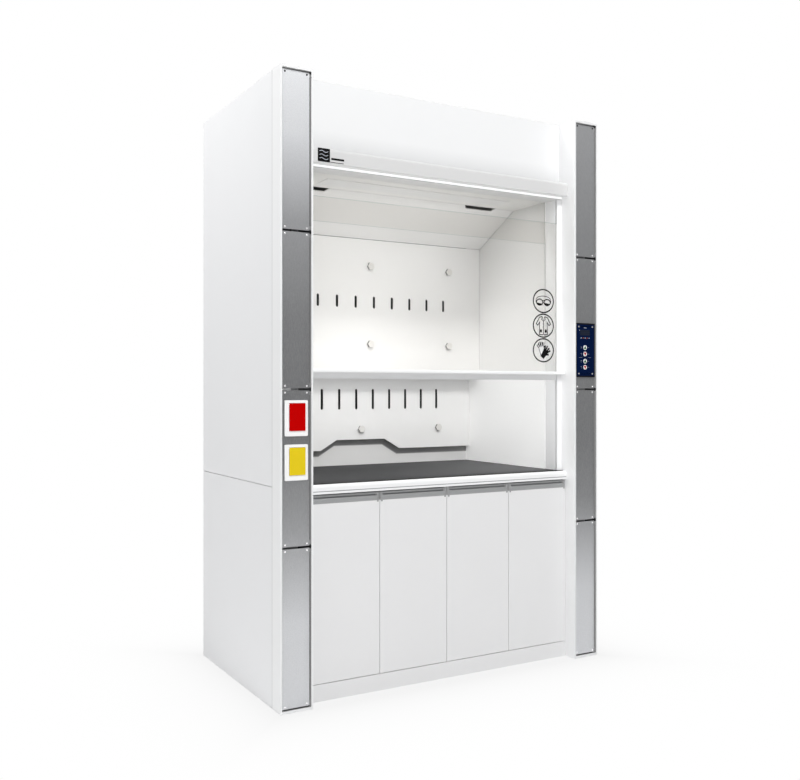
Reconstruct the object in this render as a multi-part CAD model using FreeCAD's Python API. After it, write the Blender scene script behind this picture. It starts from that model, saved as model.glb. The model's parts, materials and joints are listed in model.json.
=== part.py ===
import FreeCAD, Part
import math
import os

# Bench-mounted fume hood with a vertical telescopic sash, service columns and a base cabinet.
# Millimetres. Origin: centre of the footprint, on the floor. +X right seen from the front,
# +Y towards the back, +Z up.

# ---- driving dimensions ---------------------------------------------------------------------
HOOD_W = 1670.0
HOOD_D = 962.0
HOOD_H = 2600.0
COLUMN_W = 144.0
COLUMN_D = 86.0
COLUMN_INNER_Y = -332.0
SHEET = 2.0
SHEET_BEND = 3.0
WORKTOP_Z = 904.0
WORKTOP_T = 20.0
CHAMBER_W = 1328.0
LINER_T = 6.0
CEILING_Z = 2231.0
ROOF_Z = 2500.0

X_OUT = HOOD_W / 2
X_IN = X_OUT - COLUMN_W
Y_FRONT = -HOOD_D / 2
Y_BACK = HOOD_D / 2
Y_COLUMN = Y_FRONT + COLUMN_D
X_LINER = CHAMBER_W / 2

# ---- service columns ------------------------------------------------------------------------
OUTER_FLANGE = 7.0
INNER_FLANGE = 9.0
WINDOW_Z = (11.0, 2590.0)
PANEL_SEAMS = (WINDOW_Z[0], 661.0, 1300.0, 1940.0, WINDOW_Z[1])
PANEL_W = 118.0
PANEL_T = 3.0
PANEL_RECESS = 10.0
PANEL_SEAM_GAP = 9.0
PANEL_X = X_OUT - 12.0 - PANEL_W / 2
PANEL_Y = Y_FRONT + PANEL_RECESS
TAB_H = 20.0
TAB_T = 2.0
SCREW_X = 48.0
SCREW_Z = 9.0
SCREW_R = 2.0
SCREW_L = 9.0
SCREW_HEAD_R = 4.0
SCREW_HEAD_T = 1.5
SCREW_DRIVE_R = 1.6
SCREW_DRIVE_T = 0.8

# ---- socket outlets on the left column ------------------------------------------------------
SOCKET_X = -765.0
SOCKET_Z = (1005.0, 1183.5)
SOCKET_FRAME = (101.5, 145.0)
SOCKET_FRAME_T = 7.0
SOCKET_FRAME_CORNER = 5.0
SOCKET_OPEN_W = 71.0
SOCKET_OPEN_TOP = 61.0
SOCKET_STEP = (85.0, 127.0)
SOCKET_STEP_Z = -3.5
SOCKET_STEP_D = 0.8
LID_X = -760.8
LID_W = 69.4
LID_T = 4.0
LID_DROP = 108.0
LID_GAP = 0.5
LID_BARREL_R = 3.0
LID_PIVOT_BELOW_TOP = 4.0
LID_Y = Y_FRONT + 0.5
LID_PIN_R = 1.5
LID_PIN_L = 4.0
OUTLET_D = 40.0
OUTLET_WELL_R = 20.0
OUTLET_WELL_D = 15.0
OUTLET_PIN_R = 2.6
OUTLET_PIN_PITCH = 19.0

# ---- controller on the right column ---------------------------------------------------------
CONTROL_X = 761.5
CONTROL_W = 121.0
CONTROL_Z = (1359.0, 1621.0)
CONTROL_T = 7.0
CONTROL_BORDER = 7.0
CONTROL_FACE_T = 1.5
CONTROL_BOX_INSET = 15.0
CONTROL_BOX_D = 40.0
CONTROL_KEYS_X = 758.5
DISPLAY_W = 62.0
DISPLAY_Z = (1561.0, 1588.0)
DISPLAY_T = 1.2
BUTTON_Z = (1502.5, 1471.5, 1436.5, 1407.0)
BUTTON_BORE_R = 11.4
BUTTON_R = 11.0
BUTTON_L = 6.5
BUTTON_BORE_D = 9.0
BUTTON_EDGE = 0.8
CONTROL_SCREW_X = 43.0
CONTROL_SCREW_Z = 17.0

# ---- front opening and header ---------------------------------------------------------------
FRAME_X = 662.0
FRAME_Y = (-385.0, -381.0)
FRAME_TOP_Z = (2228.0, 2241.0)
FRAME_TOP_Y = (-325.0, -301.0)
HEADER_Y = -368.0
HEADER_RETURN = 36.0
FASCIA_Y = -430.0
FASCIA_Z = 2304.0
FASCIA_BEND = 14.0

# ---- sliding sash ---------------------------------------------------------------------------
RAIL_Z = (1345.0, 1386.0)
RAIL_BODY_X = 659.0
RAIL_BODY_Y = (-382.0, -364.0)
RAIL_LIP_X = 688.0
RAIL_LIP_Y = (-415.0, -388.0)
RAIL_LIP_H = 13.0
RAIL_LIP_ROUND = 4.0
GLASS_T = 6.0
GLASS_X = 669.0
GLASS_SEAT = 15.0
SASH_Y = -376.0
SASH_TOP = 2112.0
REAR_Y = -293.0
REAR_Z = (2024.0, 2490.0)
CARRIER_X = (667.5, 671.5)
CARRIER_T = 8.0
GUIDE_X = (FRAME_X, 671.0)
GUIDE_Y = (-371.0, -298.0)
GUIDE_WALL = 3.0

# ---- lift gear: two belt loops on each side, both round stepped pulleys ----------------------
SHAFT_Y = -277.0
SHAFT_Z = 2545.0
IDLER_Z = 1560.0
SASH_PITCH_R = 40.0
REAR_PITCH_R = 34.0
SASH_BELT_X = (681.0, 687.0)
REAR_BELT_X = (673.0, 679.0)
BELT_T = 2.0
BELT_SLACK = 0.05
PULLEY_FLANGE = 1.0
PULLEY_FLANGE_H = 3.0
SHAFT_R = 8.0
IDLER_AXLE_R = 5.0
RUNNING_GAP = 0.05
CLAMP_GAP = 0.2
CLAMP_REACH = 1.2
SASH_CLAMP_Z = (2060.0, 2100.0)
REAR_CLAMP_Z = (2310.0, 2340.0)
CLAMP_T = 8.0
BEARING_X = (630.0, 650.0)
BEARING_Y = (-288.0, -225.0)
BEARING_FOOT = 8.0
BEARING_TOP = SHAFT_Z + 20.0
LIFT_PLATE_X = (688.5, 690.5)
LIFT_PLATE_Y = (FRAME_TOP_Y[0], -250.0)
LIFT_PLATE_TOP = 2490.0
IDLER_AXLE_END = 671.8
WEIGHT_X = (693.0, 825.0)
WEIGHT_Y = (-262.0, -212.0)
WEIGHT_Z = (1870.0, 2135.0)
WEIGHT_LUG_Y = (-241.0, -233.0)
WEIGHT_LUG_Z = (1985.0, 2020.0)

# ---- chamber --------------------------------------------------------------------------------
CHAMBER_Y = (-288.0, 404.0)
PLENUM_Y = -262.0
CEILING_BACK_Y = -37.0
CEILING_T = 3.0
BAFFLE_X = 662.0
BAFFLE_T = 4.0
BAFFLE_CENTRE_X = -22.0
UPPER_BAFFLE_Y = 270.0
UPPER_BAFFLE_Z = (1380.0, 2067.0)
SLOPE_FOOT_Z = 2069.0
LOWER_BAFFLE_Y = 373.0
LOWER_BAFFLE_Z = (985.0, 1365.0)
ARCH_RISE = 53.0
ARCH_HALF = (142.0, 232.0)
NOTCH_OFFSET = 474.0
NOTCH_HALF = (76.0, 96.0)
NOTCH_D = 25.0
UPPER_SLOTS = (9, 106.0, 1715.0, 1777.0)
LOWER_SLOTS = (10, 98.9, 1195.0, 1302.0)
SLOT_R = 7.0
NUT_PITCH = 478.0
UPPER_NUTS_Z = (1532.0, 1930.0)
LOWER_NUT_Z = 1092.0
NUT_FLATS = 34.0
NUT_T = 14.0
NUT_BITE = 9.0
NUT_CHAMFER = 2.5
STUD_R = 5.0
STANDOFF_R = 9.0
LAMP_X = 500.0
LAMP_Y = (-220.0, -100.0)
LAMP_Z = (2229.0, 2262.0)
COLLAR_Y = 150.0
COLLAR_R = 125.0
COLLAR_TOP = 2596.0
COLLAR_FLANGE_R = 150.0
COLLAR_FLANGE_T = 3.0

# ---- outer panels ---------------------------------------------------------------------------
SIDE_SEAM = (901.0, 903.0)
SIDE_GAP = 1.5

# ---- base cabinet ---------------------------------------------------------------------------
WORKTOP_Y = (-395.0, 400.0)
SILL_Y = (-422.0, -403.0)
SILL_Z = (863.0, 902.0)
SILL_ROUND = 17.0
SILL_FLANGE_Y = -389.0
SILL_FLANGE_T = 14.0
SILL_DRIP_Z = (872.5, 875.5)
SILL_DRIP_D = 1.5
DOOR_PITCH = X_IN / 2
DOOR_GAP = 2.0
DOOR_Y = (-413.0, -394.0)
DOOR_Z = (74.0, 822.0)
HANDLE_TOP = 858.0
HANDLE_INSET = 4.0
HANDLE_ROUND = 4.0
GROOVE_Z = (844.0, 850.5)
GROOVE_D = 13.0
CAP_W = 8.0
CAP_FRONT_Y = -414.5
CAP_FOOT_Z = 816.0
PLINTH_H = 71.0
PLINTH_T = 18.0
PIVOT_INSET = 6.0
PIVOT_Y = DOOR_Y[0] + 4.0
PIVOT_R = 2.0
PIVOT_BITE = 14.0
PIVOT_TIP = 1.0
BOARD = 18.0
CARCASS_Y = -388.0
CARCASS_Z = 76.0
FOOT_R = 25.0
FOOT_H = 8.0
FOOT_STEM_R = 6.0
FOOT_Y = (-340.0, 340.0)


def point(x, y, z):
    return FreeCAD.Vector(x, y, z)


def box(x, y, z):
    size = (x[1] - x[0], y[1] - y[0], z[1] - z[0])
    return Part.makeBox(*size, point(x[0], y[0], z[0]))


def rod(radius, start, end):
    axis = point(*end) - point(*start)
    return Part.makeCylinder(radius, axis.Length, point(*start), axis)


def prism_x(outline, x):
    """A closed (y, z) outline, extruded from x[0] to x[1]."""
    points = [point(x[0], y, z) for y, z in outline]
    return Part.Face(Part.makePolygon(points + points[:1])).extrude(point(x[1] - x[0], 0, 0))


def prism_y(outline, y):
    """A closed (x, z) outline, extruded from y[0] to y[1]."""
    points = [point(x, y[0], z) for x, z in outline]
    return Part.Face(Part.makePolygon(points + points[:1])).extrude(point(0, y[1] - y[0], 0))


def prism_z(outline, z):
    """A closed (x, y) outline, extruded from z[0] to z[1]."""
    points = [point(x, y, z[0]) for x, y in outline]
    return Part.Face(Part.makePolygon(points + points[:1])).extrude(point(0, 0, z[1] - z[0]))


def mirrored(shape):
    return shape.mirror(point(0, 0, 0), point(1, 0, 0))


def group(solids):
    return Part.makeCompound(solids)


def both_sides(right_hand):
    return group([mirrored(right_hand), right_hand])


def round_edges(shape, radius, wanted):
    return shape.makeFillet(radius, [edge for edge in shape.Edges if wanted(edge)])


def runs_along_x(edge, y, z):
    """True for an edge parallel to X that passes through (y, z)."""
    box_of_edge = edge.BoundBox
    flat = box_of_edge.YLength < 0.01 and box_of_edge.ZLength < 0.01
    return flat and abs(box_of_edge.YMin - y) < 0.01 and abs(box_of_edge.ZMin - z) < 0.01


def runs_along_y(edge):
    box_of_edge = edge.BoundBox
    return box_of_edge.XLength < 0.01 and box_of_edge.ZLength < 0.01


def runs_along_z(edge, y):
    """True for an edge parallel to Z at the depth y."""
    box_of_edge = edge.BoundBox
    flat = box_of_edge.XLength < 0.01 and box_of_edge.YLength < 0.01
    return flat and abs(box_of_edge.YMin - y) < 0.01


def save(name, shape):
    shape.exportStep(f"parts/{name}.step")


# ---- service columns ------------------------------------------------------------------------

def screw_places():
    """(x, z) of the panel screws on the right column."""
    half_gap = PANEL_SEAM_GAP / 2
    for low, high in zip(PANEL_SEAMS, PANEL_SEAMS[1:]):
        for z in (low + half_gap + SCREW_Z, high - half_gap - SCREW_Z):
            yield PANEL_X - SCREW_X, z
            yield PANEL_X + SCREW_X, z


def column_casing():
    """Folded channel of the right column, open at the back, with tabs that carry the panels.

    Its inner web runs on behind the channel as the reveal beside the sash opening.
    """
    shell = box((X_IN, X_OUT), (Y_FRONT, Y_COLUMN), (0, HOOD_H))
    shell = round_edges(shell, SHEET_BEND, lambda edge: runs_along_z(edge, Y_FRONT))
    inside = box((X_IN + SHEET, X_OUT - SHEET), (Y_FRONT + SHEET, Y_COLUMN), (SHEET, HOOD_H - SHEET))
    inside = round_edges(inside, SHEET_BEND - SHEET, lambda edge: runs_along_z(edge, Y_FRONT + SHEET))
    window = box((X_IN + INNER_FLANGE, X_OUT - OUTER_FLANGE), (Y_FRONT, Y_FRONT + SHEET), WINDOW_Z)
    reveal = box((X_IN, X_IN + SHEET), (Y_COLUMN, COLUMN_INNER_Y), (0, HOOD_H))
    casing = shell.cut(inside).cut(window).fuse(reveal)
    tab_y = (PANEL_Y + PANEL_T, PANEL_Y + PANEL_T + TAB_T)
    for x, z in screw_places():
        if x < PANEL_X:
            reach = (X_IN + SHEET, x + 2 * SCREW_HEAD_R)
        else:
            reach = (x - 2 * SCREW_HEAD_R, X_OUT - SHEET)
        tab = box(reach, tab_y, (z - TAB_H / 2, z + TAB_H / 2))
        casing = casing.fuse(tab).cut(rod(SCREW_R, (x, tab_y[0], z), (x, tab_y[1], z)))
    return casing.removeSplitter()


def service_panels():
    """The four recessed front panels of the right column, drilled for their screws."""
    panels = []
    half_gap = PANEL_SEAM_GAP / 2
    x = (PANEL_X - PANEL_W / 2, PANEL_X + PANEL_W / 2)
    y = (PANEL_Y, PANEL_Y + PANEL_T)
    holes = group([rod(SCREW_R, (sx, y[0], sz), (sx, y[1], sz)) for sx, sz in screw_places()])
    for low, high in zip(PANEL_SEAMS, PANEL_SEAMS[1:]):
        panels.append(box(x, y, (low + half_gap, high - half_gap)).cut(holes))
    return panels


def screw(x, z, y_seat):
    """Button-head screw with a shallow drive recess, its head in front of y_seat."""
    head = rod(SCREW_HEAD_R, (x, y_seat - SCREW_HEAD_T, z), (x, y_seat, z))
    front = y_seat - SCREW_HEAD_T
    head = head.makeFillet(SCREW_HEAD_T / 2, [e for e in head.Edges if abs(e.BoundBox.YMax - front) < 0.01])
    shank = rod(SCREW_R, (x, y_seat, z), (x, y_seat + SCREW_L, z))
    recess = rod(SCREW_DRIVE_R, (x, front, z), (x, front + SCREW_DRIVE_T, z))
    return head.fuse(shank).cut(recess)


def controller_screw_places():
    for z in (CONTROL_Z[0] + CONTROL_SCREW_Z, CONTROL_Z[1] - CONTROL_SCREW_Z):
        yield CONTROL_X - CONTROL_SCREW_X, z
        yield CONTROL_X + CONTROL_SCREW_X, z


def panel_screws():
    column = [screw(x, z, PANEL_Y) for x, z in screw_places()]
    face = PANEL_Y - CONTROL_T - CONTROL_FACE_T
    control = [screw(x, z, face) for x, z in controller_screw_places()]
    return group([mirrored(one) for one in column] + column + control)


# ---- socket outlets -------------------------------------------------------------------------

def socket_opening(z, y):
    """Opening of one outlet centred at height z, between the depths y."""
    half = SOCKET_OPEN_W / 2
    top = z + SOCKET_OPEN_TOP
    bottom = top - LID_PIVOT_BELOW_TOP - LID_DROP - LID_GAP
    return box((LID_X - half, LID_X + half), y, (bottom, top))


def lid_pivot(z):
    """(y, z) of the lid's hinge line for the outlet centred at z."""
    return LID_Y + LID_BARREL_R, z + SOCKET_OPEN_TOP - LID_PIVOT_BELOW_TOP


def socket_frame(z):
    """Surround of one outlet: a shallow step round its opening, and two spigots that the lid turns on."""
    half_w, half_h = SOCKET_FRAME[0] / 2, SOCKET_FRAME[1] / 2
    y = (PANEL_Y - SOCKET_FRAME_T, PANEL_Y)
    frame = box((SOCKET_X - half_w, SOCKET_X + half_w), y, (z - half_h, z + half_h))
    frame = round_edges(frame, SOCKET_FRAME_CORNER, runs_along_y)
    half_w, half_h = SOCKET_STEP[0] / 2, SOCKET_STEP[1] / 2
    step_x = (LID_X - half_w, LID_X + half_w)
    step_z = (z + SOCKET_STEP_Z - half_h, z + SOCKET_STEP_Z + half_h)
    frame = frame.cut(box(step_x, (y[0], y[0] + SOCKET_STEP_D), step_z)).cut(socket_opening(z, y))
    pivot_y, pivot_z = lid_pivot(z)
    for side in (-1, 1):
        wall = LID_X + side * SOCKET_OPEN_W / 2
        tip = wall - side * LID_PIN_L
        frame = frame.fuse(rod(LID_PIN_R, (wall, pivot_y, pivot_z), (tip, pivot_y, pivot_z)))
    return frame


def socket_lid(z):
    """Flip-up lid: a plate below a full-width barrel, bored for the frame's spigots."""
    pivot_y, pivot_z = lid_pivot(z)
    half = LID_W / 2
    x = (LID_X - half, LID_X + half)
    plate = box(x, (LID_Y, LID_Y + LID_T), (pivot_z - LID_DROP, pivot_z))
    barrel = rod(LID_BARREL_R, (x[0], pivot_y, pivot_z), (x[1], pivot_y, pivot_z))
    lid = plate.fuse(barrel)
    for side in (-1, 1):
        end = LID_X + side * half
        start = end - side * (LID_PIN_L - (SOCKET_OPEN_W - LID_W) / 2 + LID_PIN_R)
        lid = lid.cut(rod(LID_PIN_R + RUNNING_GAP, (start, pivot_y, pivot_z), (end, pivot_y, pivot_z)))
    return lid.removeSplitter()


def socket_outlet(z):
    """Outlet behind a lid: a block with a round well and three contact holes."""
    y = (PANEL_Y, PANEL_Y + OUTLET_D)
    block = socket_opening(z, y)
    block = block.cut(rod(OUTLET_WELL_R, (LID_X, y[0], z), (LID_X, y[0] + OUTLET_WELL_D, z)))
    for x in (-OUTLET_PIN_PITCH / 2, 0, OUTLET_PIN_PITCH / 2):
        start = (LID_X + x, y[0] + OUTLET_WELL_D, z)
        block = block.cut(rod(OUTLET_PIN_R, start, (start[0], start[1] + OUTLET_WELL_D, z)))
    return block


# ---- controller -----------------------------------------------------------------------------

def controller_box():
    """Part of the controller that passes through the service panel."""
    half = CONTROL_W / 2 - CONTROL_BOX_INSET
    z = (CONTROL_Z[0] + CONTROL_BOX_INSET, CONTROL_Z[1] - CONTROL_BOX_INSET)
    return box((CONTROL_X - half, CONTROL_X + half), (PANEL_Y, PANEL_Y + CONTROL_BOX_D), z)


def button_bores():
    front = PANEL_Y - CONTROL_T - CONTROL_FACE_T
    back = front + BUTTON_BORE_D
    x = CONTROL_KEYS_X
    return group([rod(BUTTON_BORE_R, (x, front, z), (x, back, z)) for z in BUTTON_Z])


def controller_screw_holes():
    front = PANEL_Y - CONTROL_T - CONTROL_FACE_T
    places = controller_screw_places()
    return group([rod(SCREW_R, (x, front, z), (x, front + SCREW_L, z)) for x, z in places])


def controller_housing():
    half = CONTROL_W / 2
    bezel = box((CONTROL_X - half, CONTROL_X + half), (PANEL_Y - CONTROL_T, PANEL_Y), CONTROL_Z)
    return bezel.fuse(controller_box()).cut(button_bores()).cut(controller_screw_holes())


def display_window(y):
    return box((CONTROL_KEYS_X - DISPLAY_W / 2, CONTROL_KEYS_X + DISPLAY_W / 2), y, DISPLAY_Z)


def controller_face():
    half = CONTROL_W / 2 - CONTROL_BORDER
    y = (PANEL_Y - CONTROL_T - CONTROL_FACE_T, PANEL_Y - CONTROL_T)
    z = (CONTROL_Z[0] + CONTROL_BORDER, CONTROL_Z[1] - CONTROL_BORDER)
    face = box((CONTROL_X - half, CONTROL_X + half), y, z)
    return face.cut(display_window(y)).cut(button_bores()).cut(controller_screw_holes())


def controller_display():
    back = PANEL_Y - CONTROL_T
    return display_window((back - DISPLAY_T, back))


def control_button(z):
    """Push button that fills its bore in the face, with a softened front edge."""
    cap = rod(BUTTON_R, (CONTROL_KEYS_X, Y_FRONT, z), (CONTROL_KEYS_X, Y_FRONT + BUTTON_L, z))
    return cap.makeFillet(BUTTON_EDGE, [e for e in cap.Edges if abs(e.BoundBox.YMax - Y_FRONT) < 0.01])


# ---- outer panels ---------------------------------------------------------------------------

def side_panels():
    """Lower and upper outer panel of the right side, with a seam between them."""
    x = (X_OUT - SHEET, X_OUT)
    y = (Y_COLUMN + SIDE_GAP, Y_BACK)
    return group([box(x, y, (0, SIDE_SEAM[0])), box(x, y, (SIDE_SEAM[1], HOOD_H))])


def back_panel():
    return box((SHEET - X_OUT, X_OUT - SHEET), (Y_BACK - SHEET, Y_BACK), (0, HOOD_H))


def roof_panel():
    half = X_LINER + LINER_T
    roof = box((-half, half), (PLENUM_Y, Y_BACK - SHEET), (ROOF_Z, ROOF_Z + SHEET))
    return roof.cut(rod(COLLAR_R - SHEET, (0, COLLAR_Y, ROOF_Z), (0, COLLAR_Y, ROOF_Z + SHEET)))


def exhaust_collar():
    """Spigot that the exhaust duct slides over, on a flange that sits on the roof."""
    foot = ROOF_Z + SHEET
    tube = rod(COLLAR_R, (0, COLLAR_Y, foot), (0, COLLAR_Y, COLLAR_TOP))
    flange = rod(COLLAR_FLANGE_R, (0, COLLAR_Y, foot), (0, COLLAR_Y, foot + COLLAR_FLANGE_T))
    hollow = rod(COLLAR_R - SHEET, (0, COLLAR_Y, foot), (0, COLLAR_Y, COLLAR_TOP))
    return tube.fuse(flange).cut(hollow)


def header_panel():
    """Front panel above the fascia, folded back at its top."""
    z = (FASCIA_Z, HOOD_H)
    front = box((-X_IN, X_IN), (HEADER_Y, HEADER_Y + SHEET), z)
    top = box((-X_IN, X_IN), (HEADER_Y, HEADER_Y + HEADER_RETURN), (HOOD_H - SHEET, HOOD_H))
    return front.fuse(top).removeSplitter()


def fascia():
    """Projecting strip under the header: a sheet bent round its front top edge."""
    x = (-X_IN, X_IN)
    bottom = FRAME_TOP_Z[1]
    back = HEADER_Y + SHEET
    outer = box(x, (FASCIA_Y, back), (bottom, FASCIA_Z))
    outer = round_edges(outer, FASCIA_BEND, lambda e: runs_along_x(e, FASCIA_Y, FASCIA_Z))
    inner = box(x, (FASCIA_Y + SHEET, back), (bottom + SHEET, FASCIA_Z - SHEET))
    inner = round_edges(inner, FASCIA_BEND - SHEET,
                        lambda e: runs_along_x(e, FASCIA_Y + SHEET, FASCIA_Z - SHEET))
    return outer.cut(inner)


def opening_frame():
    """Thin front trim round the opening, with a top member that reaches back over the sash."""
    trim = box((-X_IN, X_IN), FRAME_Y, (WORKTOP_Z, FRAME_TOP_Z[1]))
    trim = trim.cut(box((-FRAME_X, FRAME_X), FRAME_Y, (WORKTOP_Z, FRAME_TOP_Z[0])))
    over_sash = box((-X_IN, X_IN), (FRAME_Y[1], FRAME_TOP_Y[0]), FRAME_TOP_Z)
    reach = FRAME_X + GUIDE_WALL
    between_guides = box((-reach, reach), FRAME_TOP_Y, FRAME_TOP_Z)
    return trim.fuse([over_sash, between_guides]).removeSplitter()


# ---- sliding sash ---------------------------------------------------------------------------

def pane(y_centre, z):
    return box((-GLASS_X, GLASS_X), (y_centre - GLASS_T / 2, y_centre + GLASS_T / 2), z)


def sash_glass():
    return pane(SASH_Y, (RAIL_Z[1] - GLASS_SEAT, SASH_TOP))


def sash_rail():
    """Bottom rail: a body between the frame's sides, a lip in front of them, a tongue in the guides."""
    body = box((-RAIL_BODY_X, RAIL_BODY_X), RAIL_BODY_Y, RAIL_Z)
    lip_z = (RAIL_Z[1] - RAIL_LIP_H, RAIL_Z[1])
    neck = box((-RAIL_BODY_X, RAIL_BODY_X), (RAIL_LIP_Y[1], RAIL_BODY_Y[0]), lip_z)
    lip = box((-RAIL_LIP_X, RAIL_LIP_X), RAIL_LIP_Y, lip_z)
    lip = round_edges(lip, RAIL_LIP_ROUND, lambda e: runs_along_x(e, RAIL_LIP_Y[0], RAIL_Z[1]))
    tongue_y = (SASH_Y - GLASS_T / 2, SASH_Y + GLASS_T / 2)
    tongue = box((-CARRIER_X[1], CARRIER_X[1]), tongue_y, (RAIL_Z[0], RAIL_Z[1] - GLASS_SEAT))
    return body.fuse([neck, lip, tongue]).removeSplitter().cut(sash_glass())


def carrier(y_pane, glass, z, clamp_z, belt_x, pitch_r):
    """Right-hand edge profile of a pane, with an arm that clamps the front strand of its belt."""
    profile = box(CARRIER_X, (y_pane - CARRIER_T / 2, y_pane + CARRIER_T / 2), z)
    strand_y = SHAFT_Y - pitch_r
    reach = (y_pane, strand_y - CLAMP_T / 2, strand_y + CLAMP_T / 2)
    arm = box((CARRIER_X[1], belt_x[1] + CLAMP_REACH), (min(reach), max(reach)), clamp_z)
    return profile.fuse(arm).cut(glass).cut(belt_slot(belt_x, strand_y, clamp_z))


def belt_slot(belt_x, strand_y, z):
    half = BELT_T / 2 + CLAMP_GAP
    return box((belt_x[0] - CLAMP_GAP, belt_x[1] + CLAMP_GAP), (strand_y - half, strand_y + half), z)


def sash_carriers():
    z = (RAIL_Z[1] - GLASS_SEAT, SASH_TOP)
    return both_sides(carrier(SASH_Y, sash_glass(), z, SASH_CLAMP_Z, SASH_BELT_X, SASH_PITCH_R))


def rear_glass():
    return pane(REAR_Y, REAR_Z)


def rear_glass_carriers():
    return both_sides(carrier(REAR_Y, rear_glass(), REAR_Z, REAR_CLAMP_Z, REAR_BELT_X, REAR_PITCH_R))


def sash_guide():
    """Right-hand channel that forms the reveal of the opening: the sash runs in front of its front
    flange, the rear pane behind its back flange."""
    z = (WORKTOP_Z, FRAME_TOP_Z[0])
    inner, outer = GUIDE_X
    front, back = GUIDE_Y
    wall = box((inner, inner + GUIDE_WALL), GUIDE_Y, z)
    flanges = [box((inner, outer), y, z) for y in ((front, front + GUIDE_WALL), (back - GUIDE_WALL, back))]
    return wall.fuse(flanges).removeSplitter()


def lift_plate():
    """Plate beside the right-hand belts, with the axle of the belt idler."""
    plate = box(LIFT_PLATE_X, LIFT_PLATE_Y, (WORKTOP_Z, LIFT_PLATE_TOP))
    axle = rod(IDLER_AXLE_R, (IDLER_AXLE_END, SHAFT_Y, IDLER_Z), (LIFT_PLATE_X[0], SHAFT_Y, IDLER_Z))
    return plate.fuse(axle)


def belt_loop(pitch_r, x):
    """Endless belt round the drive pulley and the idler."""
    def stadium(radius):
        wall = box(x, (SHAFT_Y - radius, SHAFT_Y + radius), (IDLER_Z, SHAFT_Z))
        ends = [rod(radius, (x[0], SHAFT_Y, z), (x[1], SHAFT_Y, z)) for z in (IDLER_Z, SHAFT_Z)]
        return wall.fuse(ends).removeSplitter()
    return stadium(pitch_r + BELT_T / 2).cut(stadium(pitch_r - BELT_T / 2))


def lift_belts():
    loops = [belt_loop(SASH_PITCH_R, SASH_BELT_X), belt_loop(REAR_PITCH_R, REAR_BELT_X)]
    return group([mirrored(loop) for loop in loops] + loops)


def stepped_pulley(z, bore_r):
    """Two flanged belt seats side by side: the larger for the sash, the smaller for the rear pane."""
    pulley = None
    for pitch_r, x in ((REAR_PITCH_R, REAR_BELT_X), (SASH_PITCH_R, SASH_BELT_X)):
        seat_r = pitch_r - BELT_T / 2 - BELT_SLACK
        rim_r = pitch_r + PULLEY_FLANGE_H
        sections = [rod(seat_r, (x[0], SHAFT_Y, z), (x[1], SHAFT_Y, z))]
        for edge in (x[0] - PULLEY_FLANGE, x[1]):
            sections.append(rod(rim_r, (edge, SHAFT_Y, z), (edge + PULLEY_FLANGE, SHAFT_Y, z)))
        pulley = sections[0].fuse(sections[1:] + ([pulley] if pulley else []))
    ends = (REAR_BELT_X[0] - PULLEY_FLANGE, SASH_BELT_X[1] + PULLEY_FLANGE)
    return pulley.cut(rod(bore_r, (ends[0], SHAFT_Y, z), (ends[1], SHAFT_Y, z))).removeSplitter()


def drive_shaft():
    end = SASH_BELT_X[1] + PULLEY_FLANGE
    return rod(SHAFT_R, (-end, SHAFT_Y, SHAFT_Z), (end, SHAFT_Y, SHAFT_Z))


def shaft_bearing():
    """Bearing block that stands on the roof panel and reaches forward over its edge."""
    foot = ROOF_Z + SHEET
    base = box(BEARING_X, (PLENUM_Y, BEARING_Y[1]), (foot, foot + BEARING_FOOT))
    head = box(BEARING_X, BEARING_Y, (foot + BEARING_FOOT, BEARING_TOP))
    bore = rod(SHAFT_R + RUNNING_GAP, (BEARING_X[0], SHAFT_Y, SHAFT_Z), (BEARING_X[1], SHAFT_Y, SHAFT_Z))
    return base.fuse(head).removeSplitter().cut(bore)


def counterweight():
    """Steel block in the right side void, gripping the rear strand of the sash belt."""
    strand_y = SHAFT_Y + SASH_PITCH_R
    block = box(WEIGHT_X, WEIGHT_Y, WEIGHT_Z)
    lug = box((SASH_BELT_X[0] - CLAMP_REACH, WEIGHT_X[0]), WEIGHT_LUG_Y, WEIGHT_LUG_Z)
    return block.fuse(lug).cut(belt_slot(SASH_BELT_X, strand_y, WEIGHT_LUG_Z))


# ---- chamber --------------------------------------------------------------------------------

def side_liner():
    return box((X_LINER, X_LINER + LINER_T), CHAMBER_Y, (WORKTOP_Z, ROOF_Z))


def back_liner():
    x = X_LINER + LINER_T
    return box((-x, x), (CHAMBER_Y[1], CHAMBER_Y[1] + LINER_T), (WORKTOP_Z, ROOF_Z))


def lamp_space():
    return box((-LAMP_X, LAMP_X), LAMP_Y, LAMP_Z)


def ceiling_panel():
    """Flat ceiling with a lamp opening, and the front wall of the exhaust plenum above it."""
    x = (-X_LINER, X_LINER)
    flat = box(x, (CHAMBER_Y[0], CEILING_BACK_Y), (CEILING_Z, CEILING_Z + CEILING_T))
    wall = box(x, (PLENUM_Y, PLENUM_Y + SHEET), (CEILING_Z, ROOF_Z))
    return flat.fuse(wall).cut(lamp_space()).removeSplitter()


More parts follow.
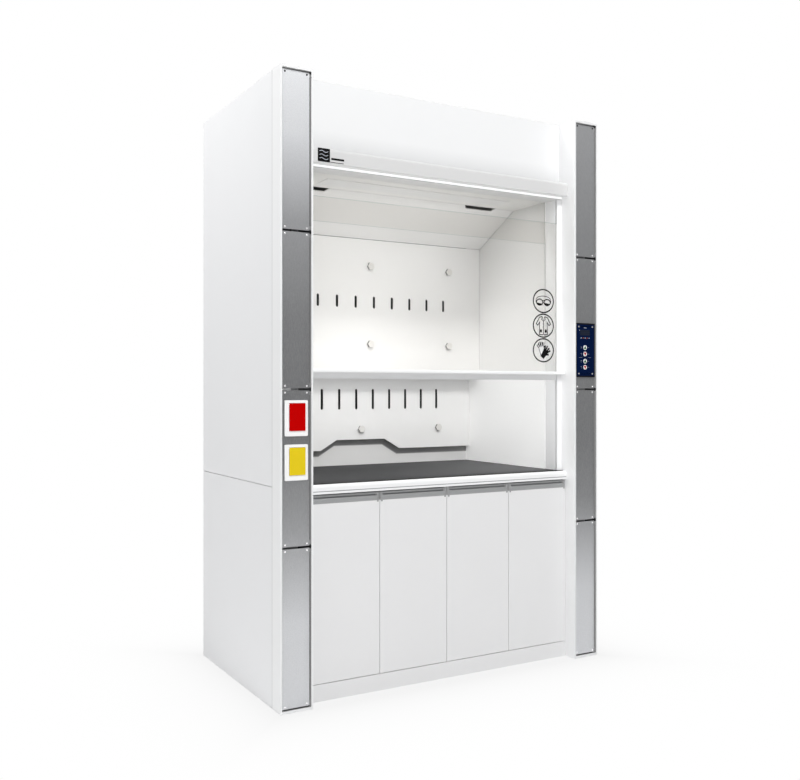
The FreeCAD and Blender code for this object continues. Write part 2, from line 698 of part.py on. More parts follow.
def sloped_baffle():
    """Sloping top baffle, with two trapezoid notches along its front edge."""
    run = UPPER_BAFFLE_Y - CEILING_BACK_Y
    drop = CEILING_Z - SLOPE_FOOT_Z
    length = math.hypot(run, drop)
    dy, dz = BAFFLE_T * drop / length, BAFFLE_T * run / length
    outline = [(CEILING_BACK_Y, CEILING_Z), (UPPER_BAFFLE_Y, SLOPE_FOOT_Z),
               (UPPER_BAFFLE_Y + dy, SLOPE_FOOT_Z + dz), (CEILING_BACK_Y + dy, CEILING_Z + dz)]
    baffle = prism_x(outline, (-BAFFLE_X, BAFFLE_X))
    for side in (-1, 1):
        centre = BAFFLE_CENTRE_X + side * NOTCH_OFFSET
        front, back = CEILING_BACK_Y, CEILING_BACK_Y + NOTCH_D
        notch = [(centre - NOTCH_HALF[1], front), (centre - NOTCH_HALF[0], back),
                 (centre + NOTCH_HALF[0], back), (centre + NOTCH_HALF[1], front)]
        baffle = baffle.cut(prism_z(notch, (SLOPE_FOOT_Z, CEILING_Z + BAFFLE_T)))
    return baffle


def slot_row(rule, y):
    """A row of round-ended vertical slots, from (count, pitch, bottom, top)."""
    count, pitch, bottom, top = rule
    slots = []
    for i in range(count):
        x = (i - (count - 1) / 2) * pitch
        ends = [rod(SLOT_R, (x, y[0], z), (x, y[1], z)) for z in (bottom + SLOT_R, top - SLOT_R)]
        middle = box((x - SLOT_R, x + SLOT_R), y, (bottom + SLOT_R, top - SLOT_R))
        slots.append(middle.fuse(ends).removeSplitter())
    return group(slots)


def nut_places():
    """(x, y, z) on the front face of the baffles."""
    for column in (-1, 0, 1):
        x = BAFFLE_CENTRE_X + column * NUT_PITCH
        for z in UPPER_NUTS_Z:
            yield x, UPPER_BAFFLE_Y, z
        yield x, LOWER_BAFFLE_Y, LOWER_NUT_Z


def stud_holes(face_y):
    places = [place for place in nut_places() if place[1] == face_y]
    return group([rod(STUD_R, place, (place[0], face_y + BAFFLE_T, place[2])) for place in places])


def upper_baffle():
    y = (UPPER_BAFFLE_Y, UPPER_BAFFLE_Y + BAFFLE_T)
    sheet = box((-BAFFLE_X, BAFFLE_X), y, UPPER_BAFFLE_Z)
    return sheet.cut(slot_row(UPPER_SLOTS, y)).cut(stud_holes(UPPER_BAFFLE_Y))


def lower_baffle():
    """Lower baffle, whose bottom edge rises in a flat-topped arch."""
    y = (LOWER_BAFFLE_Y, LOWER_BAFFLE_Y + BAFFLE_T)
    bottom, top = LOWER_BAFFLE_Z
    sheet = box((-BAFFLE_X, BAFFLE_X), y, LOWER_BAFFLE_Z)
    arch = [(BAFFLE_CENTRE_X - ARCH_HALF[1], bottom), (BAFFLE_CENTRE_X - ARCH_HALF[0], bottom + ARCH_RISE),
            (BAFFLE_CENTRE_X + ARCH_HALF[0], bottom + ARCH_RISE), (BAFFLE_CENTRE_X + ARCH_HALF[1], bottom)]
    return sheet.cut(prism_y(arch, y)).cut(slot_row(LOWER_SLOTS, y)).cut(stud_holes(LOWER_BAFFLE_Y))


def hexagon_nut(x, y, z):
    """Plastic hexagon nut against a baffle, blind-bored for the stud."""
    corner = NUT_FLATS / math.sqrt(3)
    angles = [math.radians(60 * i) for i in range(6)]
    outline = [(x + corner * math.cos(a), z + corner * math.sin(a)) for a in angles]
    nut = prism_y(outline, (y - NUT_T, y))
    cone = Part.makeCone(corner - NUT_CHAMFER, corner - NUT_CHAMFER + NUT_T, NUT_T,
                         point(x, y - NUT_T, z), point(0, 1, 0))
    return nut.common(cone).cut(rod(STUD_R, (x, y - NUT_BITE, z), (x, y, z)))


def standoff(x, y, z):
    """Spacer on the back liner, with the stud that carries a baffle and its nut."""
    spacer = rod(STANDOFF_R, (x, y + BAFFLE_T, z), (x, CHAMBER_Y[1], z))
    return spacer.fuse(rod(STUD_R, (x, y - NUT_BITE, z), (x, y + BAFFLE_T, z)))


# ---- base cabinet ---------------------------------------------------------------------------

def worktop():
    return box((-X_IN, X_IN), WORKTOP_Y, (WORKTOP_Z - WORKTOP_T, WORKTOP_Z))


def pivots():
    """X of the four door hinge lines, from left to right."""
    inset = DOOR_GAP + PIVOT_INSET
    return (-X_IN + inset, -inset, inset, X_IN - inset)


def sill():
    """Air-foil nosing in front of the worktop, with a drip groove, hung from a flange under the top."""
    x = (-X_IN, X_IN)
    nose = box(x, SILL_Y, SILL_Z)
    nose = round_edges(nose, SILL_ROUND, lambda e: runs_along_x(e, SILL_Y[0], SILL_Z[1]))
    nose = nose.cut(box(x, (SILL_Y[0], SILL_Y[0] + SILL_DRIP_D), SILL_DRIP_Z))
    under = WORKTOP_Z - WORKTOP_T
    flange = box(x, (SILL_Y[1], SILL_FLANGE_Y), (under - SILL_FLANGE_T, under))
    foot, top = SILL_Z[0], SILL_Z[0] + PIVOT_BITE
    sockets = [rod(PIVOT_R, (px, PIVOT_Y, foot), (px, PIVOT_Y, top)) for px in pivots()]
    return nose.fuse(flange).cut(group(sockets))


def plinth():
    board = box((-X_IN, X_IN), (DOOR_Y[0], DOOR_Y[0] + PLINTH_T), (0, PLINTH_H))
    sockets = [rod(PIVOT_R, (px, PIVOT_Y, PLINTH_H - PIVOT_BITE), (px, PIVOT_Y, PLINTH_H)) for px in pivots()]
    return board.cut(group(sockets))


def hinge_pins():
    """Pivot pins of the doors, seated in the sill and in the plinth."""
    pins = []
    for x in pivots():
        pins.append(rod(PIVOT_R, (x, PIVOT_Y, PLINTH_H - PIVOT_BITE), (x, PIVOT_Y, DOOR_Z[0] + PIVOT_BITE)))
        pins.append(rod(PIVOT_R, (x, PIVOT_Y, HANDLE_TOP - PIVOT_BITE), (x, PIVOT_Y, SILL_Z[0] + PIVOT_BITE)))
    return group(pins)


def door_x(number):
    """Left and right edge of door 1 to 4, counted from the left."""
    left = -X_IN + (number - 1) * DOOR_PITCH
    return left + DOOR_GAP, left + DOOR_PITCH - DOOR_GAP


def pivot_bore(number, z):
    x = pivots()[number - 1]
    return rod(PIVOT_R + RUNNING_GAP, (x, PIVOT_Y, z[0]), (x, PIVOT_Y, z[1]))


def door(number):
    bore_z = (DOOR_Z[0], DOOR_Z[0] + PIVOT_BITE + PIVOT_TIP)
    return box(door_x(number), DOOR_Y, DOOR_Z).cut(pivot_bore(number, bore_z))


def door_handle(number):
    """Pull along the top of a door: a deeply grooved profile between two proud end caps."""
    left, right = door_x(number)
    ends = (left + HANDLE_INSET, right - HANDLE_INSET)
    inner = (ends[0] + CAP_W, ends[1] - CAP_W)
    front = DOOR_Y[0]
    profile = box(inner, DOOR_Y, (DOOR_Z[1], HANDLE_TOP))
    profile = profile.cut(box(inner, (front, front + GROOVE_D), GROOVE_Z))
    profile = round_edges(profile, HANDLE_ROUND, lambda e: runs_along_x(e, front, GROOVE_Z[0]))
    bore = pivot_bore(number, (HANDLE_TOP - PIVOT_BITE - PIVOT_TIP, HANDLE_TOP))
    caps = []
    for x in ((ends[0], inner[0]), (inner[1], ends[1])):
        cap = box(x, (CAP_FRONT_Y, DOOR_Y[1]), (DOOR_Z[1], HANDLE_TOP))
        foot = box(x, (CAP_FRONT_Y, front), (CAP_FOOT_Z, DOOR_Z[1]))
        caps.append(cap.fuse(foot).removeSplitter().cut(bore))
    return group([profile] + caps)


def base_carcass():
    """Three uprights and two floor boards."""
    y = (CARCASS_Y, WORKTOP_Y[1])
    z = (CARCASS_Z, WORKTOP_Z - WORKTOP_T)
    side = box((X_IN - BOARD, X_IN), y, z)
    middle = box((-BOARD / 2, BOARD / 2), y, z)
    floor = box((BOARD / 2, X_IN - BOARD), y, (CARCASS_Z, CARCASS_Z + BOARD))
    return group([mirrored(side), mirrored(floor), middle, floor, side])


def levelling_feet():
    feet = []
    for x in (-X_IN + 2 * FOOT_R, 0, X_IN - 2 * FOOT_R):
        for y in FOOT_Y:
            pad = rod(FOOT_R, (x, y, 0), (x, y, FOOT_H))
            feet.append(pad.fuse(rod(FOOT_STEM_R, (x, y, FOOT_H), (x, y, CARCASS_Z))))
    return group(feet)


# ---- the whole hood -------------------------------------------------------------------------

def left_service_panels():
    """Panels of the left column: the second from below has the openings of the outlets."""
    panels = [mirrored(panel) for panel in service_panels()]
    y = (PANEL_Y, PANEL_Y + PANEL_T)
    for z in SOCKET_Z:
        panels[1] = panels[1].cut(socket_opening(z, y))
    return group(panels)


def right_service_panels():
    """Panels of the right column: the third from below has the opening of the controller."""
    panels = service_panels()
    screw_holes = controller_screw_holes()
    panels[2] = panels[2].cut(controller_box()).cut(screw_holes)
    return group(panels)


def build():
    save("column_casing_left", mirrored(column_casing()))
    save("column_casing_right", column_casing())
    save("service_panels_left", left_service_panels())
    save("service_panels_right", right_service_panels())
    save("panel_screws", panel_screws())
    save("socket_frames", group([socket_frame(z) for z in SOCKET_Z]))
    save("socket_outlets", group([socket_outlet(z) for z in SOCKET_Z]))
    save("socket_lid_yellow", socket_lid(SOCKET_Z[0]))
    save("socket_lid_red", socket_lid(SOCKET_Z[1]))
    save("controller_housing", controller_housing())
    save("controller_face", controller_face())
    save("controller_display", controller_display())
    for number, z in enumerate(BUTTON_Z, 1):
        save(f"control_button_{number}", control_button(z))

    save("side_panels_left", mirrored(side_panels()))
    save("side_panels_right", side_panels())
    save("back_panel", back_panel())
    save("roof_panel", roof_panel())
    save("exhaust_collar", exhaust_collar())
    save("header_panel", header_panel())
    save("fascia", fascia())
    save("opening_frame", opening_frame())

    save("sash_rail", sash_rail())
    save("sash_glass", sash_glass())
    save("sash_carriers", sash_carriers())
    save("rear_glass", rear_glass())
    save("rear_glass_carriers", rear_glass_carriers())
    save("sash_guides", both_sides(sash_guide()))
    save("lift_plates", both_sides(lift_plate()))
    save("lift_belts", lift_belts())
    save("drive_shaft", drive_shaft())
    save("drive_pulleys", both_sides(stepped_pulley(SHAFT_Z, SHAFT_R)))
    save("belt_idlers", both_sides(stepped_pulley(IDLER_Z, IDLER_AXLE_R + RUNNING_GAP)))
    save("shaft_bearings", both_sides(shaft_bearing()))
    save("counterweights", both_sides(counterweight()))

    save("side_liners", both_sides(side_liner()))
    save("back_liner", back_liner())
    save("ceiling_panel", ceiling_panel())
    save("lamp", lamp_space())
    save("sloped_baffle", sloped_baffle())
    save("upper_baffle", upper_baffle())
    save("lower_baffle", lower_baffle())
    save("baffle_nuts", group([hexagon_nut(*place) for place in nut_places()]))
    save("baffle_standoffs", group([standoff(*place) for place in nut_places()]))

    save("worktop", worktop())
    save("sill", sill())
    save("plinth", plinth())
    save("base_carcass", base_carcass())
    save("levelling_feet", levelling_feet())
    save("hinge_pins", hinge_pins())
    for number in (1, 2, 3, 4):
        save(f"door_{number}", door(number))
        save(f"door_handle_{number}", door_handle(number))


os.makedirs("parts", exist_ok=True)
build()
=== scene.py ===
import json
import math

import bpy
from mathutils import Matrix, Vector


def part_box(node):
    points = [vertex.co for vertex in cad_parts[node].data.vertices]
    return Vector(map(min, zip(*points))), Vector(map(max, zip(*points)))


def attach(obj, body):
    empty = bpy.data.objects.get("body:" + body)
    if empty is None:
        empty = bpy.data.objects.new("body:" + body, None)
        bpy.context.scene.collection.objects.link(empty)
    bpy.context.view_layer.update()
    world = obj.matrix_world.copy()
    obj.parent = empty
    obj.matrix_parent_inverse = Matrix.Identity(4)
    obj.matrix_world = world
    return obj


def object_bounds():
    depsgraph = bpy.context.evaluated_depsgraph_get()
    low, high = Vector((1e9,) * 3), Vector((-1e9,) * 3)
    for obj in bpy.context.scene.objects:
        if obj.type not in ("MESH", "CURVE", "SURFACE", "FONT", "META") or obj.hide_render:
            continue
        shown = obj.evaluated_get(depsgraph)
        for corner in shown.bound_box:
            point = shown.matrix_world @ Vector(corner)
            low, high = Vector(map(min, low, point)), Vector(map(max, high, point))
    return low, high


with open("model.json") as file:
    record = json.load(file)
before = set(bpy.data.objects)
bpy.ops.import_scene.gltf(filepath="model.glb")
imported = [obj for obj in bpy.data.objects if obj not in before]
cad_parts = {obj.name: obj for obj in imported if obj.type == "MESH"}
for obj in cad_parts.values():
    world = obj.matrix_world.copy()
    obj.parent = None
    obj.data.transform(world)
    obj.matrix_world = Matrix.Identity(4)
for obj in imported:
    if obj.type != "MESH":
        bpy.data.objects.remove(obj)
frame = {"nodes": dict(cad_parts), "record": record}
CAD_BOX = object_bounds()

# Metres, in the frame of the CAD model: +X right seen from the front, +Y back, +Z up.

# ---- viewing point --------------------------------------------------------------------------
CAMERA_PLACE = (-2.2730, -3.8877, 1.300)
CAMERA_YAW = 30.28
CAMERA_LENS = 41.41
SENSOR_W = 36.0
CAMERA_SHIFT_Y = -0.0009

# ---- studio light ---------------------------------------------------------------------------
AMBIENT = 0.36
FROM_ABOVE = 0.30
FROM_FRONT = 0.08
FROM_LEFT = 0.58
KEY_PLACE = (0.0, -5.6, 7.0)
KEY_TARGET = (0.0, 0.0, 1.2)
KEY_SIZE = (1.1, 1.1)
KEY_POWER = 335.0
SIDE_PLACE = (-2.8, 0.5, 4.5)
SIDE_TARGET = (CAD_BOX[0].x, 0.0, 1.9)
SIDE_SIZE = (1.5, 1.5)
SIDE_POWER = 57.0
LAMP_GLOW = 5.5
LAMP_SEEN = (0.90, 0.90, 0.90)
CHAMBER_FILL_PLACE = (-0.10, -0.22, 1.50)
CHAMBER_FILL_R = 0.30
CHAMBER_FILL_POWER = 4.9
FLOOR_SIZE = 40.0
FLOOR_TONE = 0.75
FLOOR_SHADE = 0.10
FLOOR_SHADE_REACH = 0.15

# ---- edges ----------------------------------------------------------------------------------
WELD = 0.00001
EDGE_ROUND = 0.0008
EDGE_ANGLE = math.radians(35)
PLATE_T = 0.0003

# ---- where a finish or painted shade changes on a piece, and how much light its material adds ---
CASING_LOW, CASING_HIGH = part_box("column_casing_right")
CASING_MIDDLE_X = (CASING_LOW.x + CASING_HIGH.x) / 2
CASING_WEB_HALF = (CASING_HIGH.x - CASING_LOW.x) / 2 - 0.0011
CASING_REVEAL_X = CASING_LOW.x + 0.0005
CASING_INSIDE_Y = CASING_LOW.y + 0.0025
CASING_GLOW_TO_Y = CASING_LOW.y + 0.034
CASING_WEB_GLOW = 0.20
REVEAL_BRIGHT_Z = 1.50
REVEAL_GLOW = (0.07, 0.20)
PANEL_SEAMS_Z = (0.661, 1.300, 1.940, 2.590)
PANEL_SEAM_HALF = 0.008
SCREW_SEAT_Y = CASING_LOW.y + 0.005
SCREW_DARK_Z = 2.45
SCREW_GLOW = 0.30

SIDE_SEAM_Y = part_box("side_panels_right")[0].y + 0.0035
HEADER_FADE = 0.09
FASCIA_UNDER_GLOW = 0.12

FRAME_LOW, FRAME_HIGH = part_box("opening_frame")
FRAME_FRONT_Y = FRAME_LOW.y + 0.005
FRAME_BRIGHT_Z = FRAME_HIGH.z - 0.0075
FRAME_LINTEL_Z = FRAME_HIGH.z - 0.0135
FRAME_GLOW = 0.55
RAIL_LIP_BACK_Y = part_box("sash_rail")[0].y + 0.029
ZINC_GLOW = 0.55

CEILING_BACK_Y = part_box("sloped_baffle")[0].y
CEILING_JOINT = 0.0022
LINER_GLOW = 0.21
LINER_GLOW_Z = (1.15, 1.80)
LINER_SHADE_Z = (1.70, 2.05)
BAFFLE_EDGE_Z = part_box("lower_baffle")[0].z
PLENUM_LOW = BAFFLE_EDGE_Z + 0.060
ARCH_MIDDLE_X = -0.022
ARCH_HALF = (0.142, 0.232)
ARCH_RISE = 0.053
SHADE_BELOW_EDGE = 0.032
SHADE_SOFT = 0.003

WORKTOP_FRONT_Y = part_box("worktop")[0].y
WORKTOP_SHEEN_X = (-0.2, 0.6)
WORKTOP_FRONT_SHADE_Y = (WORKTOP_FRONT_Y + 0.001, WORKTOP_FRONT_Y + 0.095)
SILL_LOW_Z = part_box("sill")[0].z
DRIP_SHADE_Z = (SILL_LOW_Z + 0.0092, SILL_LOW_Z + 0.0128)
SILL_FACE_TOP = SILL_LOW_Z + 0.018
DOOR_EDGE_GLOW = 0.09
HANDLE_END_GLOW = 0.16

# ---- safety signs on the sash glass ---------------------------------------------------------
SIGN_R = (0.065, 0.059)
SIGN_INSET = 0.087
SIGN_PITCH = 0.1195
SIGN_ABOVE_RAIL = 0.223
SIGN_LINE = 0.0064
GLOVE_SIZE = 1.16
OPEN_GLOVE = ((-0.012, 0.010), 16)
DARK_GLOVE = ((0.012, -0.008), -38)
GLOVE_RIM = 0.0030
GLOVE_INSIDE = -0.0007
GLOVE_DARK = 0.0016

# ---- badge on the fascia --------------------------------------------------------------------
BADGE_TILE = 0.056
BADGE_INSET = 0.071
WAVE_STEP = 0.0033
WAVE_HEIGHT = 0.0032
WAVE_PITCH = 0.0150

# ---- controller graphics --------------------------------------------------------------------
LED_R = 0.0020
LED_PITCH = 0.0125
LED_GLOW = 0.6
LED_COLOURS = ((0.55, 0.6, 0.7), (0.5, 0.15, 0.03), (0.45, 0.5, 0.6), (0.5, 0.12, 0.03), (0.45, 0.5, 0.6))
BUTTONS = (1, 2, 3, 4)


# ---- painted reflection of the room in the steel panels: screen tones by height, as a share of the whole ---
LEFT_REFLECTION_TONES = ((0.14, 220), (0.28, 170), (0.43, 130), (0.61, 150), (0.76, 185), (0.90, 255))
RIGHT_REFLECTION_TONES = ((0.02, 235), (0.13, 225), (0.30, 150), (0.40, 140), (0.64, 150), (0.98, 180))
STEEL_CAST = (0.985, 1.0, 1.03)


# ---- materials ------------------------------------------------------------------------------

class Finish:
    """A procedural material, built up layer by layer in metres."""

    def __init__(self, name, colour, roughness, metallic=0.0):
        self.material = bpy.data.materials.new(name)
        self.material.use_nodes = True
        self.nodes = self.material.node_tree.nodes
        self.links = self.material.node_tree.links
        self.shader = self.nodes["Principled BSDF"]
        self.put("Base Color", (*colour, 1.0))
        self.put("Roughness", roughness)
        self.put("Metallic", metallic)

    def put(self, socket, value):
        self.shader.inputs[socket].default_value = value

    def join(self, output, entry):
        self.links.new(output, entry)

    def place(self, stretch=(1.0, 1.0, 1.0)):
        """Position on the piece, scaled along each axis."""
        coordinates = self.nodes.new("ShaderNodeTexCoord")
        mapping = self.nodes.new("ShaderNodeMapping")
        mapping.inputs["Scale"].default_value = stretch
        self.join(coordinates.outputs["Object"], mapping.inputs["Vector"])
        return mapping.outputs["Vector"]

    def axis(self, name):
        parts = self.nodes.new("ShaderNodeSeparateXYZ")
        self.join(self.place(), parts.inputs["Vector"])
        return parts.outputs[name]

    def noise(self, per_metre, detail=2.0, stretch=(1.0, 1.0, 1.0)):
        texture = self.nodes.new("ShaderNodeTexNoise")
        texture.inputs["Scale"].default_value = per_metre
        texture.inputs["Detail"].default_value = detail
        self.join(self.place(stretch), texture.inputs["Vector"])
        return texture.outputs["Fac"]

    def cells(self, per_metre):
        texture = self.nodes.new("ShaderNodeTexVoronoi")
        texture.inputs["Scale"].default_value = per_metre
        self.join(self.place(), texture.inputs["Vector"])
        return texture.outputs["Distance"]

    def ribs(self, axis, pitch):
        """Even ribs across one axis, one every pitch metres."""
        angle = self.sum("MULTIPLY", self.axis(axis), 2 * math.pi / pitch)
        return self.sum("SINE", angle)

    def sum(self, operation, first, second=None):
        node = self.nodes.new("ShaderNodeMath")
        node.operation = operation
        for entry, value in zip(node.inputs, (first, second)):
            if isinstance(value, bpy.types.NodeSocket):
                self.join(value, entry)
            elif value is not None:
                entry.default_value = value
        return node.outputs["Value"]

    def span(self, mask, low, high, edges=(0.0, 1.0)):
        """mask, remapped so that edges become low and high."""
        node = self.nodes.new("ShaderNodeMapRange")
        self.join(mask, node.inputs["Value"])
        node.inputs["From Min"].default_value = edges[0]
        node.inputs["From Max"].default_value = edges[1]
        node.inputs["To Min"].default_value = low
        node.inputs["To Max"].default_value = high
        return node.outputs["Result"]

    def ramp(self, mask, stops):
        """Colours along a mask, from (position, colour) stops."""
        node = self.nodes.new("ShaderNodeValToRGB")
        elements = node.color_ramp.elements
        while len(elements) < len(stops):
            elements.new(0.5)
        for element, (position, colour) in zip(elements, stops):
            element.position = position
            element.color = (*colour, 1.0)
        self.join(mask, node.inputs["Fac"])
        return node.outputs["Color"]

    def mix(self, mask, first, second):
        node = self.nodes.new("ShaderNodeMix")
        node.data_type = "RGBA"
        if isinstance(mask, bpy.types.NodeSocket):
            self.join(mask, node.inputs["Factor"])
        else:
            node.inputs["Factor"].default_value = mask
        for name, value in (("A", first), ("B", second)):
            entry = [i for i in node.inputs if i.name == name and i.type == "RGBA"][0]
            if isinstance(value, bpy.types.NodeSocket):
                self.join(value, entry)
            else:
                entry.default_value = (*value, 1.0)
        return [o for o in node.outputs if o.type == "RGBA"][0]

    def colour(self, output):
        self.join(output, self.shader.inputs["Base Color"])

    def rough(self, mask, low, high):
        self.join(self.span(mask, low, high), self.shader.inputs["Roughness"])

    def bump(self, height, distance, strength=1.0):
        node = self.nodes.new("ShaderNodeBump")
        node.inputs["Distance"].default_value = distance
        node.inputs["Strength"].default_value = strength
        self.join(height, node.inputs["Height"])
        old = self.shader.inputs["Normal"].links
        if old:
            self.join(old[0].from_socket, node.inputs["Normal"])
        self.join(node.outputs["Normal"], self.shader.inputs["Normal"])

    def normal(self, axis):
        """One component of the direction that a face looks in."""
        geometry = self.nodes.new("ShaderNodeNewGeometry")
        parts = self.nodes.new("ShaderNodeSeparateXYZ")
        self.join(geometry.outputs["True Normal"], parts.inputs["Vector"])
        return parts.outputs[axis]

    def facing(self, axis, sign):
        """1 on the faces that look along one direction, 0 elsewhere."""
        return self.sum("GREATER_THAN", self.sum("MULTIPLY", self.normal(axis), sign), 0.5)

    def lift_tone(self, mask, strength):
        """Adds a little light of its own where the mask is 1."""
        self.put("Emission Color", (1.0, 1.0, 1.0, 1.0))
        self.join(self.sum("MULTIPLY", mask, strength), self.shader.inputs["Emission Strength"])

    def surface(self, output):
        self.join(output, self.nodes["Material Output"].inputs["Surface"])


def grey(tone):
    """Linear colour of a neutral screen tone from 0 to 255."""
    level = tone / 255
    linear = level / 12.92 if level < 0.04045 else ((level + 0.055) / 1.055) ** 2.4
    return (linear, linear, linear)


def shade(colour, factor):
    return tuple(channel * factor for channel in colour)


def coated(name, colour, roughness=0.42):
    """Powder coat: fine orange peel and a faint drift of tone."""
    finish = Finish(name, colour, roughness)
    finish.colour(finish.mix(finish.noise(3.0), shade(colour, 0.985), colour))
    finish.rough(finish.noise(260.0), roughness - 0.05, roughness + 0.08)
    finish.bump(finish.noise(1100.0, 3.0), 0.00012, 0.35)
    return finish


def white_coat():
    return coated("white_coat", (0.90, 0.905, 0.91))


def white_aluminium():
    """Coated extrusion: powder coat with faint drawing lines along its length."""
    finish = coated("white_aluminium", (0.93, 0.935, 0.94), 0.36)
    finish.bump(finish.noise(900.0, 2.0, (0.02, 1.0, 0.3)), 0.00008, 0.25)
    return finish


def painted_reflection_ramp(finish, tones):
    """Painted reflection of the room: slightly blue greys up the height of the panels."""
    height = finish.span(finish.axis("Z"), 0.0, 1.0, (0.0, CAD_BOX[1].z))
    stops = []
    for position, tone in tones:
        stops.append((position, tuple(g * c for g, c in zip(grey(tone), STEEL_CAST))))
    return finish.ramp(height, stops)


def stainless():
    """Brushed stainless sheet, with a painted reflection of the room softly up its height."""
    finish = Finish("stainless", (0.5, 0.5, 0.5), 0.38, 0.75)
    on_right = finish.sum("GREATER_THAN", finish.axis("X"), 0.0)
    # painted reflection of the room, with its own tones on each column
    base = finish.mix(on_right, painted_reflection_ramp(finish, LEFT_REFLECTION_TONES), painted_reflection_ramp(finish, RIGHT_REFLECTION_TONES))
    grain = finish.noise(2400.0, 3.0, (1.0, 1.0, 0.03))
    mottle = finish.noise(420.0, 3.0)
    streaked = finish.mix(finish.span(grain, 0.0, 0.16, (0.35, 0.65)), base, (1.0, 1.0, 1.0))
    finish.colour(finish.mix(finish.span(mottle, 0.0, 0.14, (0.4, 0.7)), streaked, (0.02, 0.02, 0.02)))
    finish.rough(grain, 0.30, 0.46)
    finish.bump(grain, 0.00006, 0.3)
    finish.put("Anisotropic", 0.6)
    return finish


def screw_steel():
    finish = Finish("screw_steel", (0.82, 0.82, 0.83), 0.2, 0.9)
    high_up = finish.sum("GREATER_THAN", finish.axis("Z"), SCREW_DARK_Z)
    finish.colour(finish.mix(high_up, (0.82, 0.82, 0.83), (0.04, 0.04, 0.045)))
    low_down = finish.sum("SUBTRACT", 1.0, high_up)
    on_panel = finish.sum("GREATER_THAN", finish.axis("Y"), SCREW_SEAT_Y)
    finish.lift_tone(finish.sum("MULTIPLY", low_down, on_panel), SCREW_GLOW)
    finish.rough(finish.noise(3000.0), 0.12, 0.30)
    finish.bump(finish.noise(4000.0), 0.00003, 0.3)
    return finish


def clear_glass():
    """Sheet glass: clear through its faces, green along its cut edges."""
    finish = Finish("clear_glass", (0.9, 0.95, 0.93), 0.03)
    nodes = finish.nodes
    clear = nodes.new("ShaderNodeBsdfTransparent")
    clear.inputs["Color"].default_value = (0.975, 0.971, 0.963, 1.0)
    gloss = nodes.new("ShaderNodeBsdfGlossy")
    gloss.inputs["Roughness"].default_value = 0.02
    fresnel = nodes.new("ShaderNodeFresnel")
    fresnel.inputs["IOR"].default_value = 1.35
    face = nodes.new("ShaderNodeMixShader")
    finish.join(finish.sum("MULTIPLY", fresnel.outputs["Fac"], 0.5), face.inputs["Fac"])
    finish.join(clear.outputs["BSDF"], face.inputs[1])
    finish.join(gloss.outputs["BSDF"], face.inputs[2])
    edge = nodes.new("ShaderNodeBsdfDiffuse")
    along = finish.noise(140.0, 2.0, (0.05, 1.0, 0.05))
    edge_tone = finish.mix(along, (0.30, 0.38, 0.36), (0.52, 0.60, 0.58))
    finish.join(edge_tone, edge.inputs["Color"])
    side_on = finish.sum("LESS_THAN", finish.sum("ABSOLUTE", finish.normal("Y")), 0.5)
    both = nodes.new("ShaderNodeMixShader")
    finish.join(side_on, both.inputs["Fac"])
    finish.join(face.outputs["Shader"], both.inputs[1])
    finish.join(edge.outputs["BSDF"], both.inputs[2])
    finish.surface(both.outputs["Shader"])
    return finish


def liner_white():
    """Satin resin laminate."""
    finish = Finish("liner_white", (0.90, 0.90, 0.895), 0.5)
    finish.colour(finish.mix(finish.noise(5.0, 3.0), (0.885, 0.885, 0.88), (0.91, 0.91, 0.905)))
    finish.rough(finish.noise(300.0), 0.42, 0.56)
    finish.bump(finish.noise(1500.0, 3.0), 0.00003, 0.2)
    return finish


def worktop_dark():
    """Dark ceramic slab with fine pale speckle, a painted sheen that lightens it towards the right, and
    painted shade that darkens it towards the front edge.
    """
    finish = Finish("worktop_dark", (0.08, 0.08, 0.083), 0.6)
    finish.put("Specular IOR Level", 0.15)
    fleck = finish.span(finish.cells(420.0), 1.0, 0.0, (0.05, 0.20))
    # painted sheen: lighter towards the right
    across = finish.span(finish.axis("X"), 0.0, 1.0, WORKTOP_SHEEN_X)
    sheen_and_shade = finish.mix(across, (0.028, 0.029, 0.031), (0.100, 0.101, 0.104))
    # painted shade: darker towards the front edge
    front_shade = finish.span(finish.axis("Y"), 0.0, 1.0, WORKTOP_FRONT_SHADE_Y)
    sheen_and_shade = finish.mix(front_shade, (0.006, 0.006, 0.006), sheen_and_shade)
    ground = finish.mix(finish.sum("MULTIPLY", finish.noise(60.0, 4.0), 0.2), sheen_and_shade, (0.10, 0.101, 0.104))
    finish.colour(finish.mix(finish.sum("MULTIPLY", fleck, 0.15), ground, (0.22, 0.22, 0.23)))
    finish.rough(finish.noise(200.0), 0.52, 0.68)
    finish.bump(finish.noise(700.0, 3.0), 0.00015, 0.3)
    return finish


def white_board():
    """Lacquered door facing with fine horizontal ribs."""
    finish = Finish("white_board", (0.82, 0.82, 0.825), 0.45)
    finish.colour(finish.mix(finish.noise(4.0, 3.0), (0.785, 0.785, 0.79), (0.805, 0.805, 0.81)))
    finish.rough(finish.noise(240.0), 0.40, 0.52)
    finish.bump(finish.ribs("Z", 0.004), 0.00012, 0.35)
    finish.bump(finish.noise(900.0), 0.00006, 0.3)
    return finish


def carcass_board():
    """Melamine board with a pressed pore pattern."""
    finish = Finish("carcass_board", (0.82, 0.82, 0.82), 0.55)
    pores = finish.noise(300.0, 4.0, (1.0, 0.08, 1.0))
    finish.colour(finish.mix(pores, (0.78, 0.78, 0.775), (0.84, 0.84, 0.84)))
    finish.rough(finish.noise(200.0), 0.48, 0.62)
    finish.bump(finish.noise(700.0, 3.0, (1.0, 0.1, 1.0)), 0.0001, 0.4)
    return finish


def handle_aluminium():
    """Satin anodised extrusion, finely lined along its length; its ends glow faintly."""
    finish = Finish("handle_aluminium", (0.42, 0.425, 0.43), 0.45, 0.35)
    lines = finish.noise(1500.0, 3.0, (0.02, 1.0, 1.0))
    finish.colour(finish.mix(lines, (0.33, 0.335, 0.34), (0.40, 0.405, 0.41)))
    finish.rough(lines, 0.38, 0.52)
    finish.bump(lines, 0.0001, 0.5)
    ends = finish.sum("MAXIMUM", finish.facing("X", 1), finish.facing("X", -1))
    finish.lift_tone(ends, HANDLE_END_GLOW)
    return finish


